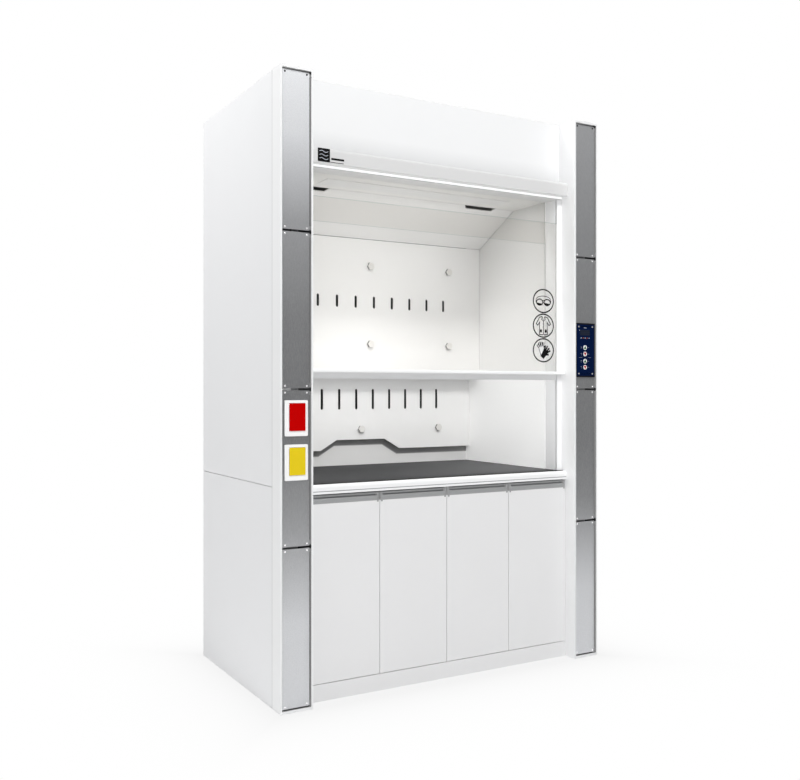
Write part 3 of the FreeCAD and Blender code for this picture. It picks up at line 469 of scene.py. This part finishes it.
def moulded(name, colour, roughness=0.3, grain=900.0):
    """Moulded plastic: a faint spark-eroded grain and slight unevenness of colour."""
    finish = Finish(name, colour, roughness)
    finish.put("Specular IOR Level", 0.12)
    finish.colour(finish.mix(finish.noise(30.0, 3.0), shade(colour, 0.94), colour))
    finish.rough(finish.noise(grain / 4), roughness - 0.06, roughness + 0.08)
    finish.bump(finish.noise(grain, 2.0), 0.00008, 0.3)
    return finish


def white_plastic():
    return moulded("white_plastic", (0.97, 0.97, 0.97), 0.35)


def red_plastic():
    finish = moulded("red_plastic", (0.54, 0.0004, 0.0004), 0.40)
    finish.put("Specular IOR Level", 0.02)
    return finish


def yellow_plastic():
    return moulded("yellow_plastic", (0.80, 0.60, 0.012), 0.40)


def outlet_black():
    return moulded("outlet_black", (0.02, 0.02, 0.022), 0.45)


def controller_black():
    return moulded("controller_black", (0.006, 0.006, 0.010), 0.45)


def controller_navy():
    """Printed membrane: fine fabric-like texture under a satin film."""
    finish = Finish("controller_navy", (0.0003, 0.006, 0.038), 0.45)
    finish.put("Specular IOR Level", 0.04)
    finish.colour(finish.mix(finish.noise(50.0, 2.0), (0.0002, 0.005, 0.034), (0.0004, 0.008, 0.044)))
    finish.rough(finish.noise(1200.0), 0.40, 0.55)
    finish.bump(finish.noise(2500.0, 2.0), 0.00005, 0.3)
    return finish


def display_dark():
    """Unlit liquid crystal window with faint segment rows."""
    finish = Finish("display_dark", (0.03, 0.045, 0.06), 0.25)
    finish.put("Specular IOR Level", 0.1)
    rows = finish.span(finish.ribs("Z", 0.009), 0.0, 1.0, (0.2, 0.9))
    columns = finish.span(finish.ribs("X", 0.0045), 0.0, 1.0, (-0.2, 0.6))
    dots = finish.sum("MULTIPLY", rows, columns)
    finish.colour(finish.mix(dots, (0.012, 0.016, 0.030), (0.025, 0.032, 0.055)))
    finish.rough(finish.noise(800.0), 0.20, 0.30)
    return finish


def button_white():
    return moulded("button_white", (0.86, 0.86, 0.86), 0.35)


def nut_cream():
    """Moulded nut; painted shade makes its flats read darker than its face."""
    finish = moulded("nut_cream", (0.80, 0.79, 0.76), 0.4)
    # painted shade on the flats
    face = finish.facing("Y", -1)
    finish.colour(finish.mix(face, (0.36, 0.355, 0.34), (0.80, 0.79, 0.765)))
    return finish


def belt_rubber():
    """Toothed belt: cross ribs along its run."""
    finish = Finish("belt_rubber", (0.02, 0.02, 0.02), 0.7)
    finish.colour(finish.mix(finish.noise(400.0), (0.015, 0.015, 0.015), (0.03, 0.03, 0.03)))
    finish.bump(finish.ribs("Z", 0.005), 0.0008, 0.7)
    return finish


def gear_aluminium():
    finish = Finish("gear_aluminium", (0.68, 0.68, 0.69), 0.35, 0.85)
    lines = finish.noise(1600.0, 3.0, (1.0, 1.0, 0.05))
    finish.colour(finish.mix(lines, (0.60, 0.60, 0.61), (0.74, 0.74, 0.75)))
    finish.rough(lines, 0.28, 0.44)
    finish.bump(lines, 0.00006, 0.4)
    return finish


def shaft_steel():
    finish = Finish("shaft_steel", (0.55, 0.55, 0.56), 0.25, 1.0)
    rings = finish.noise(2000.0, 2.0, (1.0, 0.05, 0.05))
    finish.colour(finish.mix(rings, (0.48, 0.48, 0.49), (0.62, 0.62, 0.63)))
    finish.rough(rings, 0.18, 0.34)
    return finish


def weight_iron():
    """Cast iron: coarse sand-cast skin."""
    finish = Finish("weight_iron", (0.13, 0.13, 0.135), 0.65, 0.4)
    finish.colour(finish.mix(finish.noise(80.0, 5.0), (0.09, 0.09, 0.095), (0.17, 0.17, 0.175)))
    finish.bump(finish.noise(350.0, 5.0), 0.0006, 0.6)
    return finish


def lamp_diffuser():
    """Opal diffuser: it lights the chamber, and looks like a plain satin panel itself."""
    finish = moulded("lamp_diffuser", LAMP_SEEN, 0.4)
    nodes = finish.nodes
    glow = nodes.new("ShaderNodeEmission")
    glow.inputs["Strength"].default_value = LAMP_GLOW
    path = nodes.new("ShaderNodeLightPath")
    not_below = finish.sum("GREATER_THAN", finish.normal("Z"), -0.5)
    plain = finish.sum("MAXIMUM", path.outputs["Is Camera Ray"], not_below)
    seen = nodes.new("ShaderNodeMixShader")
    finish.join(plain, seen.inputs["Fac"])
    finish.join(glow.outputs["Emission"], seen.inputs[1])
    finish.join(finish.shader.outputs["BSDF"], seen.inputs[2])
    finish.surface(seen.outputs["Shader"])
    return finish


def foot_black():
    return moulded("foot_black", (0.03, 0.03, 0.03), 0.6)


SLOT_FINISHES = (white_coat, white_aluminium, stainless, screw_steel, clear_glass, liner_white, worktop_dark,
                 white_board, carcass_board, handle_aluminium, white_plastic, red_plastic, yellow_plastic,
                 outlet_black, controller_black, controller_navy, display_dark, button_white, nut_cream,
                 belt_rubber, gear_aluminium, shaft_steel, weight_iron, lamp_diffuser, foot_black)


def casing_coat():
    """Powder coat outside; inside, painted shade, nearly black with a zinc spangle; painted shade on the
    front faces, deeper on the right column; the webs beside the panels and the reveal glow faintly.
    """
    finish = coated("casing_coat", (0.90, 0.905, 0.91))
    across = finish.sum("ABSOLUTE", finish.axis("X"))
    from_middle = finish.sum("ABSOLUTE", finish.sum("SUBTRACT", across, CASING_MIDDLE_X))
    inside = finish.sum("MULTIPLY", finish.sum("LESS_THAN", from_middle, CASING_WEB_HALF),
                        finish.sum("GREATER_THAN", finish.axis("Y"), CASING_INSIDE_Y))
    # painted shade inside the casing: nearly black, with a zinc spangle
    inside_shade = finish.mix(finish.cells(90.0), (0.035, 0.035, 0.037), (0.07, 0.07, 0.073))
    coat = finish.mix(finish.noise(3.0), (0.885, 0.89, 0.895), (0.90, 0.905, 0.91))
    # painted shade on the front faces, deeper on the right column
    shade_rightwards = finish.span(finish.axis("X"), 0.0, 1.0, (-CASING_MIDDLE_X, CASING_MIDDLE_X))
    front = finish.mix(shade_rightwards, (0.865, 0.87, 0.875), (0.79, 0.795, 0.80))
    coat = finish.mix(finish.facing("Y", -1), coat, front)
    finish.colour(finish.mix(inside, coat, inside_shade))
    near_front = finish.sum("MULTIPLY", inside, finish.sum("LESS_THAN", finish.axis("Y"), CASING_GLOW_TO_Y))
    for seam in PANEL_SEAMS_Z:
        away = finish.sum("ABSOLUTE", finish.sum("SUBTRACT", finish.axis("Z"), seam))
        near_front = finish.sum("MULTIPLY", near_front, finish.sum("GREATER_THAN", away, PANEL_SEAM_HALF))
    reveal = finish.sum("LESS_THAN", across, CASING_REVEAL_X)
    from_centre = finish.sum("ABSOLUTE", finish.sum("SUBTRACT", finish.axis("Z"), REVEAL_BRIGHT_Z))
    reveal_glow = finish.span(from_centre, REVEAL_GLOW[1], REVEAL_GLOW[0], (0.0, 0.40))
    glow = finish.sum("ADD", finish.sum("MULTIPLY", near_front, CASING_WEB_GLOW),
                      finish.sum("MULTIPLY", reveal, reveal_glow))
    finish.lift_tone(glow, 1.0)
    return finish


def fascia_coat():
    """Slightly greyer than the other white parts; its underside glows faintly, as if lit from the worktop and
    the floor.
    """
    finish = coated("fascia_coat", (0.665, 0.665, 0.665))
    finish.lift_tone(finish.facing("Z", -1), FASCIA_UNDER_GLOW)
    return finish


def header_coat():
    """Powder coat with painted shade that deepens softly towards the fascia."""
    finish = coated("header_coat", (0.86, 0.865, 0.87))
    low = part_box("header_panel")[0].z
    # painted shade, deepening towards the fascia
    rise = finish.span(finish.axis("Z"), 0.0, 1.0, (low, low + HEADER_FADE))
    soft = finish.sum("POWER", rise, 0.6)
    finish.colour(finish.mix(soft, (0.64, 0.645, 0.65), (0.83, 0.835, 0.84)))
    return finish


def frame_coat():
    """Bright coated trim; the front of its top member glows faintly, and painted shade dulls the rest of that
    member, underside included.
    """
    finish = white_aluminium()
    finish.material.name = "frame_coat"
    top = finish.sum("GREATER_THAN", finish.axis("Z"), FRAME_BRIGHT_Z)
    front = finish.sum("LESS_THAN", finish.axis("Y"), FRAME_FRONT_Y)
    finish.lift_tone(finish.sum("MULTIPLY", top, front), FRAME_GLOW)
    # painted shade on the lower part of the top member
    lintel = finish.sum("GREATER_THAN", finish.axis("Z"), FRAME_LINTEL_Z)
    under = finish.sum("MULTIPLY", lintel, finish.sum("SUBTRACT", 1.0, top))
    finish.colour(finish.mix(under, (0.93, 0.935, 0.94), (0.73, 0.73, 0.72)))
    return finish


def ceiling_coat():
    """Powder coat, with a thin line of painted shade at its joint with the sloped baffle."""
    finish = coated("ceiling_coat", (0.90, 0.90, 0.89))
    # painted shade: thin dark line at the joint
    joint = finish.sum("GREATER_THAN", finish.axis("Y"), CEILING_BACK_Y - CEILING_JOINT)
    finish.colour(finish.mix(joint, (0.90, 0.90, 0.885), (0.10, 0.10, 0.10)))
    return finish


def rail_coat():
    """Bright lip; painted shade makes the body below it a little duller."""
    finish = white_aluminium()
    finish.material.name = "rail_coat"
    # painted shade on the body below the lip
    lip = finish.sum("LESS_THAN", finish.axis("Y"), RAIL_LIP_BACK_Y)
    finish.colour(finish.mix(lip, (0.90, 0.905, 0.91), (0.93, 0.935, 0.94)))
    return finish


def plenum_liner():
    """Back liner laminate: unshaded at the bottom, with a painted shadow just under the lower baffle and
    painted shade, nearly black, behind it.
    """
    finish = liner_white()
    finish.material.name = "plenum_liner"
    off_centre = finish.sum("ABSOLUTE", finish.sum("SUBTRACT", finish.axis("X"), ARCH_MIDDLE_X))
    rise = finish.span(off_centre, ARCH_RISE, 0.0, ARCH_HALF)
    # painted shadow of the lower baffle's arched edge
    above_edge = finish.sum("SUBTRACT", finish.axis("Z"), rise)
    edge = BAFFLE_EDGE_Z - SHADE_BELOW_EDGE
    shaded = finish.span(above_edge, 0.0, 1.0, (edge - SHADE_SOFT, edge + SHADE_SOFT))
    # painted shade, nearly black, on the liner behind the baffles
    plenum_shade = finish.span(finish.axis("Z"), 0.0, 1.0, (PLENUM_LOW, PLENUM_LOW + 0.03))
    unshaded = finish.mix(finish.noise(5.0, 3.0), (0.81, 0.81, 0.805), (0.84, 0.84, 0.835))
    under = finish.mix(shaded, unshaded, (0.32, 0.32, 0.32))
    finish.colour(finish.mix(plenum_shade, under, (0.03, 0.03, 0.03)))
    return finish


def side_liner_white():
    """Side liner laminate: it glows faintly low down, beside the opening, and painted shade darkens it near
    the top.
    """
    finish = liner_white()
    finish.material.name = "side_liner_white"
    # painted shade, darker near the top
    top = finish.span(finish.axis("Z"), 0.0, 1.0, LINER_SHADE_Z)
    unshaded = finish.mix(finish.noise(5.0, 3.0), (0.885, 0.885, 0.88), (0.91, 0.91, 0.905))
    finish.colour(finish.mix(top, unshaded, (0.70, 0.70, 0.69)))
    finish.lift_tone(finish.span(finish.axis("Z"), 1.0, 0.0, LINER_GLOW_Z), LINER_GLOW)
    return finish


def sill_coat():
    """Coated nosing with a drip line of painted shade along its lower face; painted shade also makes its
    sloped top a little darker than its front.
    """
    finish = white_aluminium()
    finish.material.name = "sill_coat"
    # painted shade: a dark drip line along the lower face
    above = finish.sum("GREATER_THAN", finish.axis("Z"), DRIP_SHADE_Z[0])
    below = finish.sum("LESS_THAN", finish.axis("Z"), DRIP_SHADE_Z[1])
    # painted shade: the sloped top a little darker than the front
    face = finish.span(finish.axis("Z"), 0.0, 1.0, (SILL_FACE_TOP, SILL_FACE_TOP + 0.005))
    coat = finish.mix(face, (0.90, 0.905, 0.91), (0.87, 0.875, 0.88))
    finish.colour(finish.mix(finish.sum("MULTIPLY", above, below), coat, (0.42, 0.42, 0.43)))
    return finish


def side_coat():
    """Powder coat, with the shadow gap to the column casing drawn along its front edge."""
    finish = coated("side_coat", (0.87, 0.875, 0.885))
    seam = finish.sum("LESS_THAN", finish.axis("Y"), SIDE_SEAM_Y)
    coat = finish.mix(finish.noise(3.0), (0.86, 0.865, 0.875), (0.875, 0.88, 0.89))
    finish.colour(finish.mix(seam, coat, (0.68, 0.685, 0.69)))
    return finish


def pale_zinc(name):
    """Zinc beside the opening; its front and inward faces glow faintly, as if lit by the white reveals."""
    finish = Finish(name, (0.75, 0.76, 0.77), 0.5)
    finish.colour(finish.mix(finish.cells(90.0), (0.70, 0.71, 0.72), (0.78, 0.79, 0.80)))
    finish.rough(finish.cells(60.0), 0.4, 0.6)
    inward = finish.sum("LESS_THAN", finish.sum("MULTIPLY", finish.normal("X"), finish.axis("X")), -0.1)
    seen = finish.sum("MAXIMUM", inward, finish.facing("Y", -1))
    finish.lift_tone(seen, ZINC_GLOW)
    return finish


def lift_plate_pale():
    return pale_zinc("lift_plate_pale")


def sash_carrier_pale():
    return pale_zinc("sash_carrier_pale")


def door_board():
    """White laminate; its side edges glow faintly, so that the narrow gaps do not turn black."""
    finish = white_board()
    finish.material.name = "door_board"
    ends = finish.sum("MAXIMUM", finish.facing("X", 1), finish.facing("X", -1))
    finish.lift_tone(ends, DOOR_EDGE_GLOW)
    return finish


NODE_FINISHES = {"column_casing_left": casing_coat, "column_casing_right": casing_coat, "fascia": fascia_coat,
                 "header_panel": header_coat, "opening_frame": frame_coat, "ceiling_panel": ceiling_coat,
                 "sash_rail": rail_coat, "back_liner": plenum_liner, "sill": sill_coat,
                 "side_panels_left": side_coat, "side_panels_right": side_coat,
                 "lift_plates": lift_plate_pale, "sash_carriers": sash_carrier_pale,
                 "rear_glass_carriers": sash_carrier_pale, "side_liners": side_liner_white,
                 "door_1": door_board, "door_2": door_board, "door_3": door_board, "door_4": door_board}
SHARP_SLOTS = ("clear_glass", "belt_rubber", "stainless", "liner_white")


def dress_cad_nodes(finishes):
    """Gives each CAD node its finish, and rounds its edges a little unless its slot is a sharp one."""
    special = {name: make().material for name, make in NODE_FINISHES.items()}
    for part in frame["record"]["subparts"]:
        node = frame["nodes"][part["node"]]
        node.data.materials.clear()
        node.data.materials.append(special.get(part["node"], finishes[part["material_slot"]]))
        if part["material_slot"] in SHARP_SLOTS:
            continue
        weld = node.modifiers.new("weld", "WELD")
        weld.merge_threshold = WELD
        bevel = node.modifiers.new("soft_edges", "BEVEL")
        bevel.width = EDGE_ROUND
        bevel.segments = 2
        bevel.limit_method = "ANGLE"
        bevel.angle_limit = EDGE_ANGLE
        bevel.use_clamp_overlap = True
        flat = node.modifiers.new("flat_faces", "WEIGHTED_NORMAL")
        flat.weight = 100


# ---- flat graphics, drawn in (x, z) and laid on a plane facing the front ---------------------

def arc(centre, radius, start, end, steps=24):
    """Points round part of a circle or, with two radii, an ellipse; angles in degrees."""
    rx, rz = radius if isinstance(radius, tuple) else (radius, radius)
    points = []
    for i in range(steps + 1):
        angle = math.radians(start + (end - start) * i / steps)
        points.append((centre[0] + rx * math.cos(angle), centre[1] + rz * math.sin(angle)))
    return points


def ring_points(centre, radius, steps=48):
    return arc(centre, radius, 0, 360, steps)[:-1]


def ribbon(points, width, closed=False):
    """Quads along a line, mitred at its bends."""
    count = len(points)
    sides = []
    for i, here in enumerate(points):
        before = points[i - 1] if i > 0 or closed else here
        after = points[(i + 1) % count] if i < count - 1 or closed else here
        into = Vector(here) - Vector(before)
        out = Vector(after) - Vector(here)
        along = (into.normalized() if into.length else out.normalized())
        along = (along + (out.normalized() if out.length else along)).normalized()
        normal = Vector((-along.y, along.x))
        edge_direction = out if out.length else into
        lean = max(0.35, abs(normal.dot(Vector((-edge_direction.y, edge_direction.x)).normalized())))
        offset = normal * (width / 2 / lean)
        sides.append((Vector(here) + offset, Vector(here) - offset))
    quads = []
    for i in range(count if closed else count - 1):
        (a, b), (c, d) = sides[i], sides[(i + 1) % count]
        quads.append([a, b, d, c])
    return quads


def flat_piece(name, polygons, place, material, body):
    """Thin printed or moulded plates on a plane that faces the front, centred on place."""
    vertices, faces = [], []
    for polygon in polygons:
        faces.append(range(len(vertices), len(vertices) + len(polygon)))
        vertices.extend((x, 0.0, z) for x, z in polygon)
    mesh = bpy.data.meshes.new(name)
    mesh.from_pydata(vertices, [], [list(face) for face in faces])
    mesh.materials.append(material)
    piece = bpy.data.objects.new(name, mesh)
    bpy.context.scene.collection.objects.link(piece)
    weld = piece.modifiers.new("weld", "WELD")
    weld.merge_threshold = WELD
    solid = piece.modifiers.new("thickness", "SOLIDIFY")
    solid.thickness = PLATE_T
    solid.offset = 0.0
    piece.location = place
    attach(piece, body)
    return piece


def printed(name, colour, roughness=0.5):
    """Screen-printed ink with a slightly uneven film."""
    return moulded(name, colour, roughness, 1400.0).material


# ---- safety signs ---------------------------------------------------------------------------

def sign_ring():
    radius = (SIGN_R[0] - SIGN_LINE / 2, SIGN_R[1] - SIGN_LINE / 2)
    return ribbon(ring_points((0, 0), radius), SIGN_LINE, closed=True)


def mirrored(points):
    return [(-x, z) for x, z in points]


def goggles_glyph():
    """Safety goggles seen from the front: two shaded lenses, side arms and a strap."""
    shapes = []
    for side in (-1, 1):
        centre = (side * 0.0230, -0.0060)
        shapes += ribbon(ring_points(centre, (0.0195, 0.0145), 28), 0.0056, closed=True)
        shapes.append(arc(centre, (0.0190, 0.0140), 190, 330, 18))
        arm = [(0.0400, 0.0040), (0.0470, 0.0060), (0.0470, -0.0080), (0.0410, -0.0110)]
        shapes.append(arm if side > 0 else mirrored(arm))
    shapes += ribbon(arc((0, -0.0030), (0.0075, 0.0060), 20, 160, 8), 0.0032)
    shapes += ribbon(arc((0, 0.0040), (0.0460, 0.0200), 12, 168, 24), 0.0034)
    return shapes


def coat_glyph():
    """Laboratory coat: sleeves, open front, collar and two dark pockets."""
    half = [(0.007, 0.044), (0.024, 0.040), (0.044, 0.008), (0.034, 0.001), (0.023, 0.017), (0.025, -0.043),
            (0.003, -0.045)]
    shapes = []
    for side in (-1, 1):
        shapes += ribbon([(side * x, z) for x, z in half], 0.0044)
        shapes += ribbon([(side * 0.007, 0.044), (side * 0.001, 0.022), (side * 0.002, -0.045)], 0.0020)
        shapes += ribbon([(side * 0.007, 0.044), (side * 0.012, 0.030), (side * 0.002, 0.024)], 0.0024)
        shapes.append(ring_points((side * 0.0150, -0.026), (0.0062, 0.0085), 16))
    return shapes


def glove(centre, lean, margin):
    """Gloved hand with spread fingers, cuff and thumb; margin grows or shrinks every outline."""
    c, s = GLOVE_SIZE * math.cos(math.radians(lean)), GLOVE_SIZE * math.sin(math.radians(lean))
    palm = [(-0.0085, -0.028), (0.0085, -0.028), (0.0105, -0.008), (0.0115, 0.006), (-0.0115, 0.006),
            (-0.0105, -0.008)]
    grown = [(x + math.copysign(margin, x), z + math.copysign(margin, z)) for x, z in palm]
    shapes = [grown]
    for root_x, turn, length in ((-0.0095, 112, 0.019), (-0.0035, 97, 0.023), (0.0035, 83, 0.022),
                                 (0.0095, 66, 0.018)):
        step = (math.cos(math.radians(turn)), math.sin(math.radians(turn)))
        tip = (root_x + length * step[0], 0.004 + length * step[1])
        shapes += ribbon([(root_x, 0.004), tip], 0.0042 + 2 * margin)
    shapes += ribbon([(0.006, -0.010), (0.0205, 0.002)], 0.0046 + 2 * margin)
    return [[(centre[0] + x * c - z * s, centre[1] + x * s + z * c) for x, z in shape] for shape in shapes]


def gloves_glyph():
    """Outer shape of the open glove; its pale inside and the dark glove are printed over it."""
    return glove(*OPEN_GLOVE, GLOVE_RIM)


def safety_signs(ink, white):
    low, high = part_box("sash_glass")
    rail_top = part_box("sash_rail")[1].z
    x = high.x - SIGN_INSET
    y = low.y - PLATE_T
    glyphs = (("goggles", goggles_glyph, 1), ("coat", coat_glyph, 0), ("gloves", gloves_glyph, -1))
    for name, glyph, row in glyphs:
        z = rail_top + SIGN_ABOVE_RAIL + row * SIGN_PITCH
        flat_piece(f"safety_sign_{name}", sign_ring() + glyph(), (x, y, z), ink, "sash")
    inside = (x, y - PLATE_T, rail_top + SIGN_ABOVE_RAIL - SIGN_PITCH)
    open_hand = glove(*OPEN_GLOVE, GLOVE_INSIDE)
    flat_piece("safety_sign_open_glove", open_hand, inside, white, "sash")
    front = (x, y - 2 * PLATE_T, inside[2])
    dark_hand = glove(*DARK_GLOVE, GLOVE_DARK)
    flat_piece("safety_sign_dark_glove", dark_hand, front, ink, "sash")


# ---- badge ----------------------------------------------------------------------------------

def rounded(width, height, corner, centre=(0.0, 0.0)):
    """Outline of a rectangle with round corners."""
    points = []
    for x, z, start in ((1, 1, 0), (-1, 1, 90), (-1, -1, 180), (1, -1, 270)):
        middle = (centre[0] + x * (width / 2 - corner), centre[1] + z * (height / 2 - corner))
        points += arc(middle, corner, start, start + 90, 6)
    return points


def badge(ink, pale):
    """Plain generic mark at the left end of the fascia: a dark tile with three airflow lines and two bars."""
    low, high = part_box("fascia")
    x = low.x + BADGE_INSET
    z = (low.z + high.z) / 2
    y = low.y - PLATE_T
    tile = [rounded(BADGE_TILE, BADGE_TILE, 0.003)]
    flat_piece("badge_tile", tile, (x, y, z), ink, "cabinet")
    waves = []
    for row in (-1, 0, 1):
        middle = row * WAVE_PITCH
        line = [(WAVE_STEP * i - 0.0200, middle + WAVE_HEIGHT * math.sin(i * 0.55)) for i in range(13)]
        waves += ribbon(line, 0.0024)
    flat_piece("badge_waves", waves, (x, y - PLATE_T, z), pale, "cabinet")
    bars = [rounded(0.060, 0.0085, 0.0015, (0.064, -0.012)), rounded(0.064, 0.0025, 0.001, (0.060, -0.026))]
    flat_piece("badge_bars", bars, (x, y, z), ink, "cabinet")


# ---- controller graphics --------------------------------------------------------------------

def glowing(name, colour, strength):
    """Small indicator lens, lit from behind through a grained cap."""
    finish = moulded(name, colour, 0.25)
    finish.put("Emission Color", (*colour, 1.0))
    finish.put("Emission Strength", strength)
    return finish.material


def controller_graphics(pale):
    face_low, face_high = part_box("controller_face")
    display_low, display_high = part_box("controller_display")
    x = (display_low.x + display_high.x) / 2
    y = face_low.y - PLATE_T
    row_z = display_low.z - 0.012
    for number, colour in enumerate(LED_COLOURS, 1):
        lens = glowing(f"led_{number}", colour, LED_GLOW)
        place = (x + (number - 3) * LED_PITCH, y, row_z)
        dot = [ring_points((0, 0), LED_R, 16)]
        flat_piece(f"indicator_{number}", dot, place, lens, "cabinet")
    marks = [rounded(0.016, 0.0022, 0.0008, (0.0, face_high.z - 0.016 - row_z)),
             rounded(0.003, 0.0035, 0.0008, (display_low.x - x - 0.004, display_high.z - 0.002 - row_z))]
    middle = 0.0
    for number in BUTTONS:
        button_low, button_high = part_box(f"control_button_{number}")
        z = (button_low.z + button_high.z) / 2 - row_z
        middle += z / len(BUTTONS)
        marks.append(rounded(0.006, 0.0016, 0.0006, (-0.024, z + 0.002)))
        marks.append(rounded(0.004, 0.0010, 0.0004, (-0.025, z - 0.004)))
        marks.append(rounded(0.006, 0.0010, 0.0004, (0.022, z)))
    marks += [rounded(0.020, 0.0008, 0.0003, (side * 0.028, middle)) for side in (-1, 1)]
    flat_piece("controller_marks", marks, (x, y, row_z), pale, "cabinet")


def button_glyphs(green, red):
    """Printed arrow on each push button: up in green, down in red."""
    for number in BUTTONS:
        low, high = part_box(f"control_button_{number}")
        up = 1 if number % 2 else -1
        arrow = [(-0.0092, -0.0068 * up), (0.0075, -0.0068 * up), (-0.0008, 0.0095 * up)]
        place = ((low.x + high.x) / 2, low.y - PLATE_T, (low.z + high.z) / 2)
        flat_piece(f"button_glyph_{number}", [arrow], place, green if up > 0 else red, f"button_{number}")


# ---- studio ---------------------------------------------------------------------------------

def camera():
    data = bpy.data.cameras.new("camera")
    data.sensor_width = SENSOR_W
    data.lens = CAMERA_LENS
    data.shift_y = CAMERA_SHIFT_Y
    data.clip_end = 200.0
    piece = bpy.data.objects.new("camera", data)
    piece.location = CAMERA_PLACE
    piece.rotation_euler = (math.pi / 2, 0.0, -math.radians(CAMERA_YAW))
    bpy.context.scene.collection.objects.link(piece)
    bpy.context.scene.camera = piece


def world_light():
    """White backdrop for the camera; for all else, soft light, strongest from the left and from above."""
    world = bpy.data.worlds.new("studio")
    world.use_nodes = True
    bpy.context.scene.world = world
    nodes, links = world.node_tree.nodes, world.node_tree.links
    nodes.clear()

    def math_node(operation, first, second):
        node = nodes.new("ShaderNodeMath")
        node.operation = operation
        for entry, value in zip(node.inputs, (first, second)):
            if isinstance(value, bpy.types.NodeSocket):
                links.new(value, entry)
            else:
                entry.default_value = value
        return node.outputs["Value"]

    coordinates = nodes.new("ShaderNodeTexCoord")
    parts = nodes.new("ShaderNodeSeparateXYZ")
    links.new(coordinates.outputs["Generated"], parts.inputs["Vector"])
    level = AMBIENT
    for axis, sign, amount in (("Z", 1, FROM_ABOVE), ("Y", -1, FROM_FRONT), ("X", -1, FROM_LEFT)):
        facing = math_node("MAXIMUM", math_node("MULTIPLY", parts.outputs[axis], sign), 0.0)
        level = math_node("ADD", math_node("MULTIPLY", facing, amount), level)
    light = nodes.new("ShaderNodeBackground")
    links.new(level, light.inputs["Strength"])
    backdrop = nodes.new("ShaderNodeBackground")
    backdrop.inputs["Color"].default_value = (1.0, 1.0, 1.0, 1.0)
    path = nodes.new("ShaderNodeLightPath")
    choose = nodes.new("ShaderNodeMixShader")
    links.new(path.outputs["Is Camera Ray"], choose.inputs["Fac"])
    links.new(light.outputs["Background"], choose.inputs[1])
    links.new(backdrop.outputs["Background"], choose.inputs[2])
    output = nodes.new("ShaderNodeOutputWorld")
    links.new(choose.outputs["Shader"], output.inputs["Surface"])


def area_light(name, place, target, size, power):
    data = bpy.data.lights.new(name, "AREA")
    data.shape = "RECTANGLE"
    data.size, data.size_y = size
    data.energy = power
    light = bpy.data.objects.new(name, data)
    light.location = place
    light.rotation_euler = (Vector(target) - Vector(place)).to_track_quat("-Z", "Y").to_euler()
    bpy.context.scene.collection.objects.link(light)


def chamber_fill():
    """Soft glow in the middle of the chamber, kept out of the reflections in the glass."""
    data = bpy.data.lights.new("chamber_fill", "POINT")
    data.shadow_soft_size = CHAMBER_FILL_R
    data.energy = CHAMBER_FILL_POWER
    light = bpy.data.objects.new("chamber_fill", data)
    light.location = CHAMBER_FILL_PLACE
    light.visible_glossy = False
    bpy.context.scene.collection.objects.link(light)


def floor():
    """Seamless pale sweep with a faint painted contact shadow round the base."""
    finish = Finish("floor", (FLOOR_TONE,) * 3, 0.8)
    finish.put("Specular IOR Level", 0.0)
    nodes = finish.nodes
    low, high = CAD_BOX
    past_x = finish.sum("SUBTRACT", finish.sum("ABSOLUTE", finish.axis("X")), high.x)
    past_y = finish.sum("SUBTRACT", finish.sum("ABSOLUTE", finish.axis("Y")), high.y)
    distance = finish.sum("MAXIMUM", finish.sum("MAXIMUM", past_x, past_y), 0.0)
    # painted contact shadow round the base
    fade = finish.sum("EXPONENT", finish.sum("MULTIPLY", distance, -1 / FLOOR_SHADE_REACH))
    tone = finish.sum("SUBTRACT", 1.0, finish.sum("MULTIPLY", fade, FLOOR_SHADE))
    white = nodes.new("ShaderNodeEmission")
    finish.join(tone, white.inputs["Strength"])
    path = nodes.new("ShaderNodeLightPath")
    seen = nodes.new("ShaderNodeMixShader")
    finish.join(path.outputs["Is Camera Ray"], seen.inputs["Fac"])
    finish.join(finish.shader.outputs["BSDF"], seen.inputs[1])
    finish.join(white.outputs["Emission"], seen.inputs[2])
    finish.surface(seen.outputs["Shader"])
    half = FLOOR_SIZE / 2
    mesh = bpy.data.meshes.new("floor")
    corners = [(-half, -half, 0), (half, -half, 0), (half, half, 0), (-half, half, 0)]
    mesh.from_pydata(corners, [], [(0, 1, 2, 3)])
    mesh.materials.append(finish.material)
    piece = bpy.data.objects.new("floor", mesh)
    bpy.context.scene.collection.objects.link(piece)


def build():
    finishes = {make.__name__: make().material for make in SLOT_FINISHES}
    dress_cad_nodes(finishes)
    ink = printed("ink_dark", (0.004, 0.004, 0.004))
    pale = printed("ink_pale", (0.50, 0.53, 0.60))
    green = printed("ink_green", (0.0, 0.10, 0.02))
    red = printed("ink_red", (0.45, 0.004, 0.004))
    safety_signs(ink, printed("ink_white", (0.85, 0.85, 0.85)))
    badge(ink, pale)
    controller_graphics(pale)
    button_glyphs(green, red)
    floor()
    world_light()
    area_light("key", KEY_PLACE, KEY_TARGET, KEY_SIZE, KEY_POWER)
    area_light("side", SIDE_PLACE, SIDE_TARGET, SIDE_SIZE, SIDE_POWER)
    chamber_fill()
    camera()
    bpy.context.scene.view_settings.view_transform = "Standard"


build()
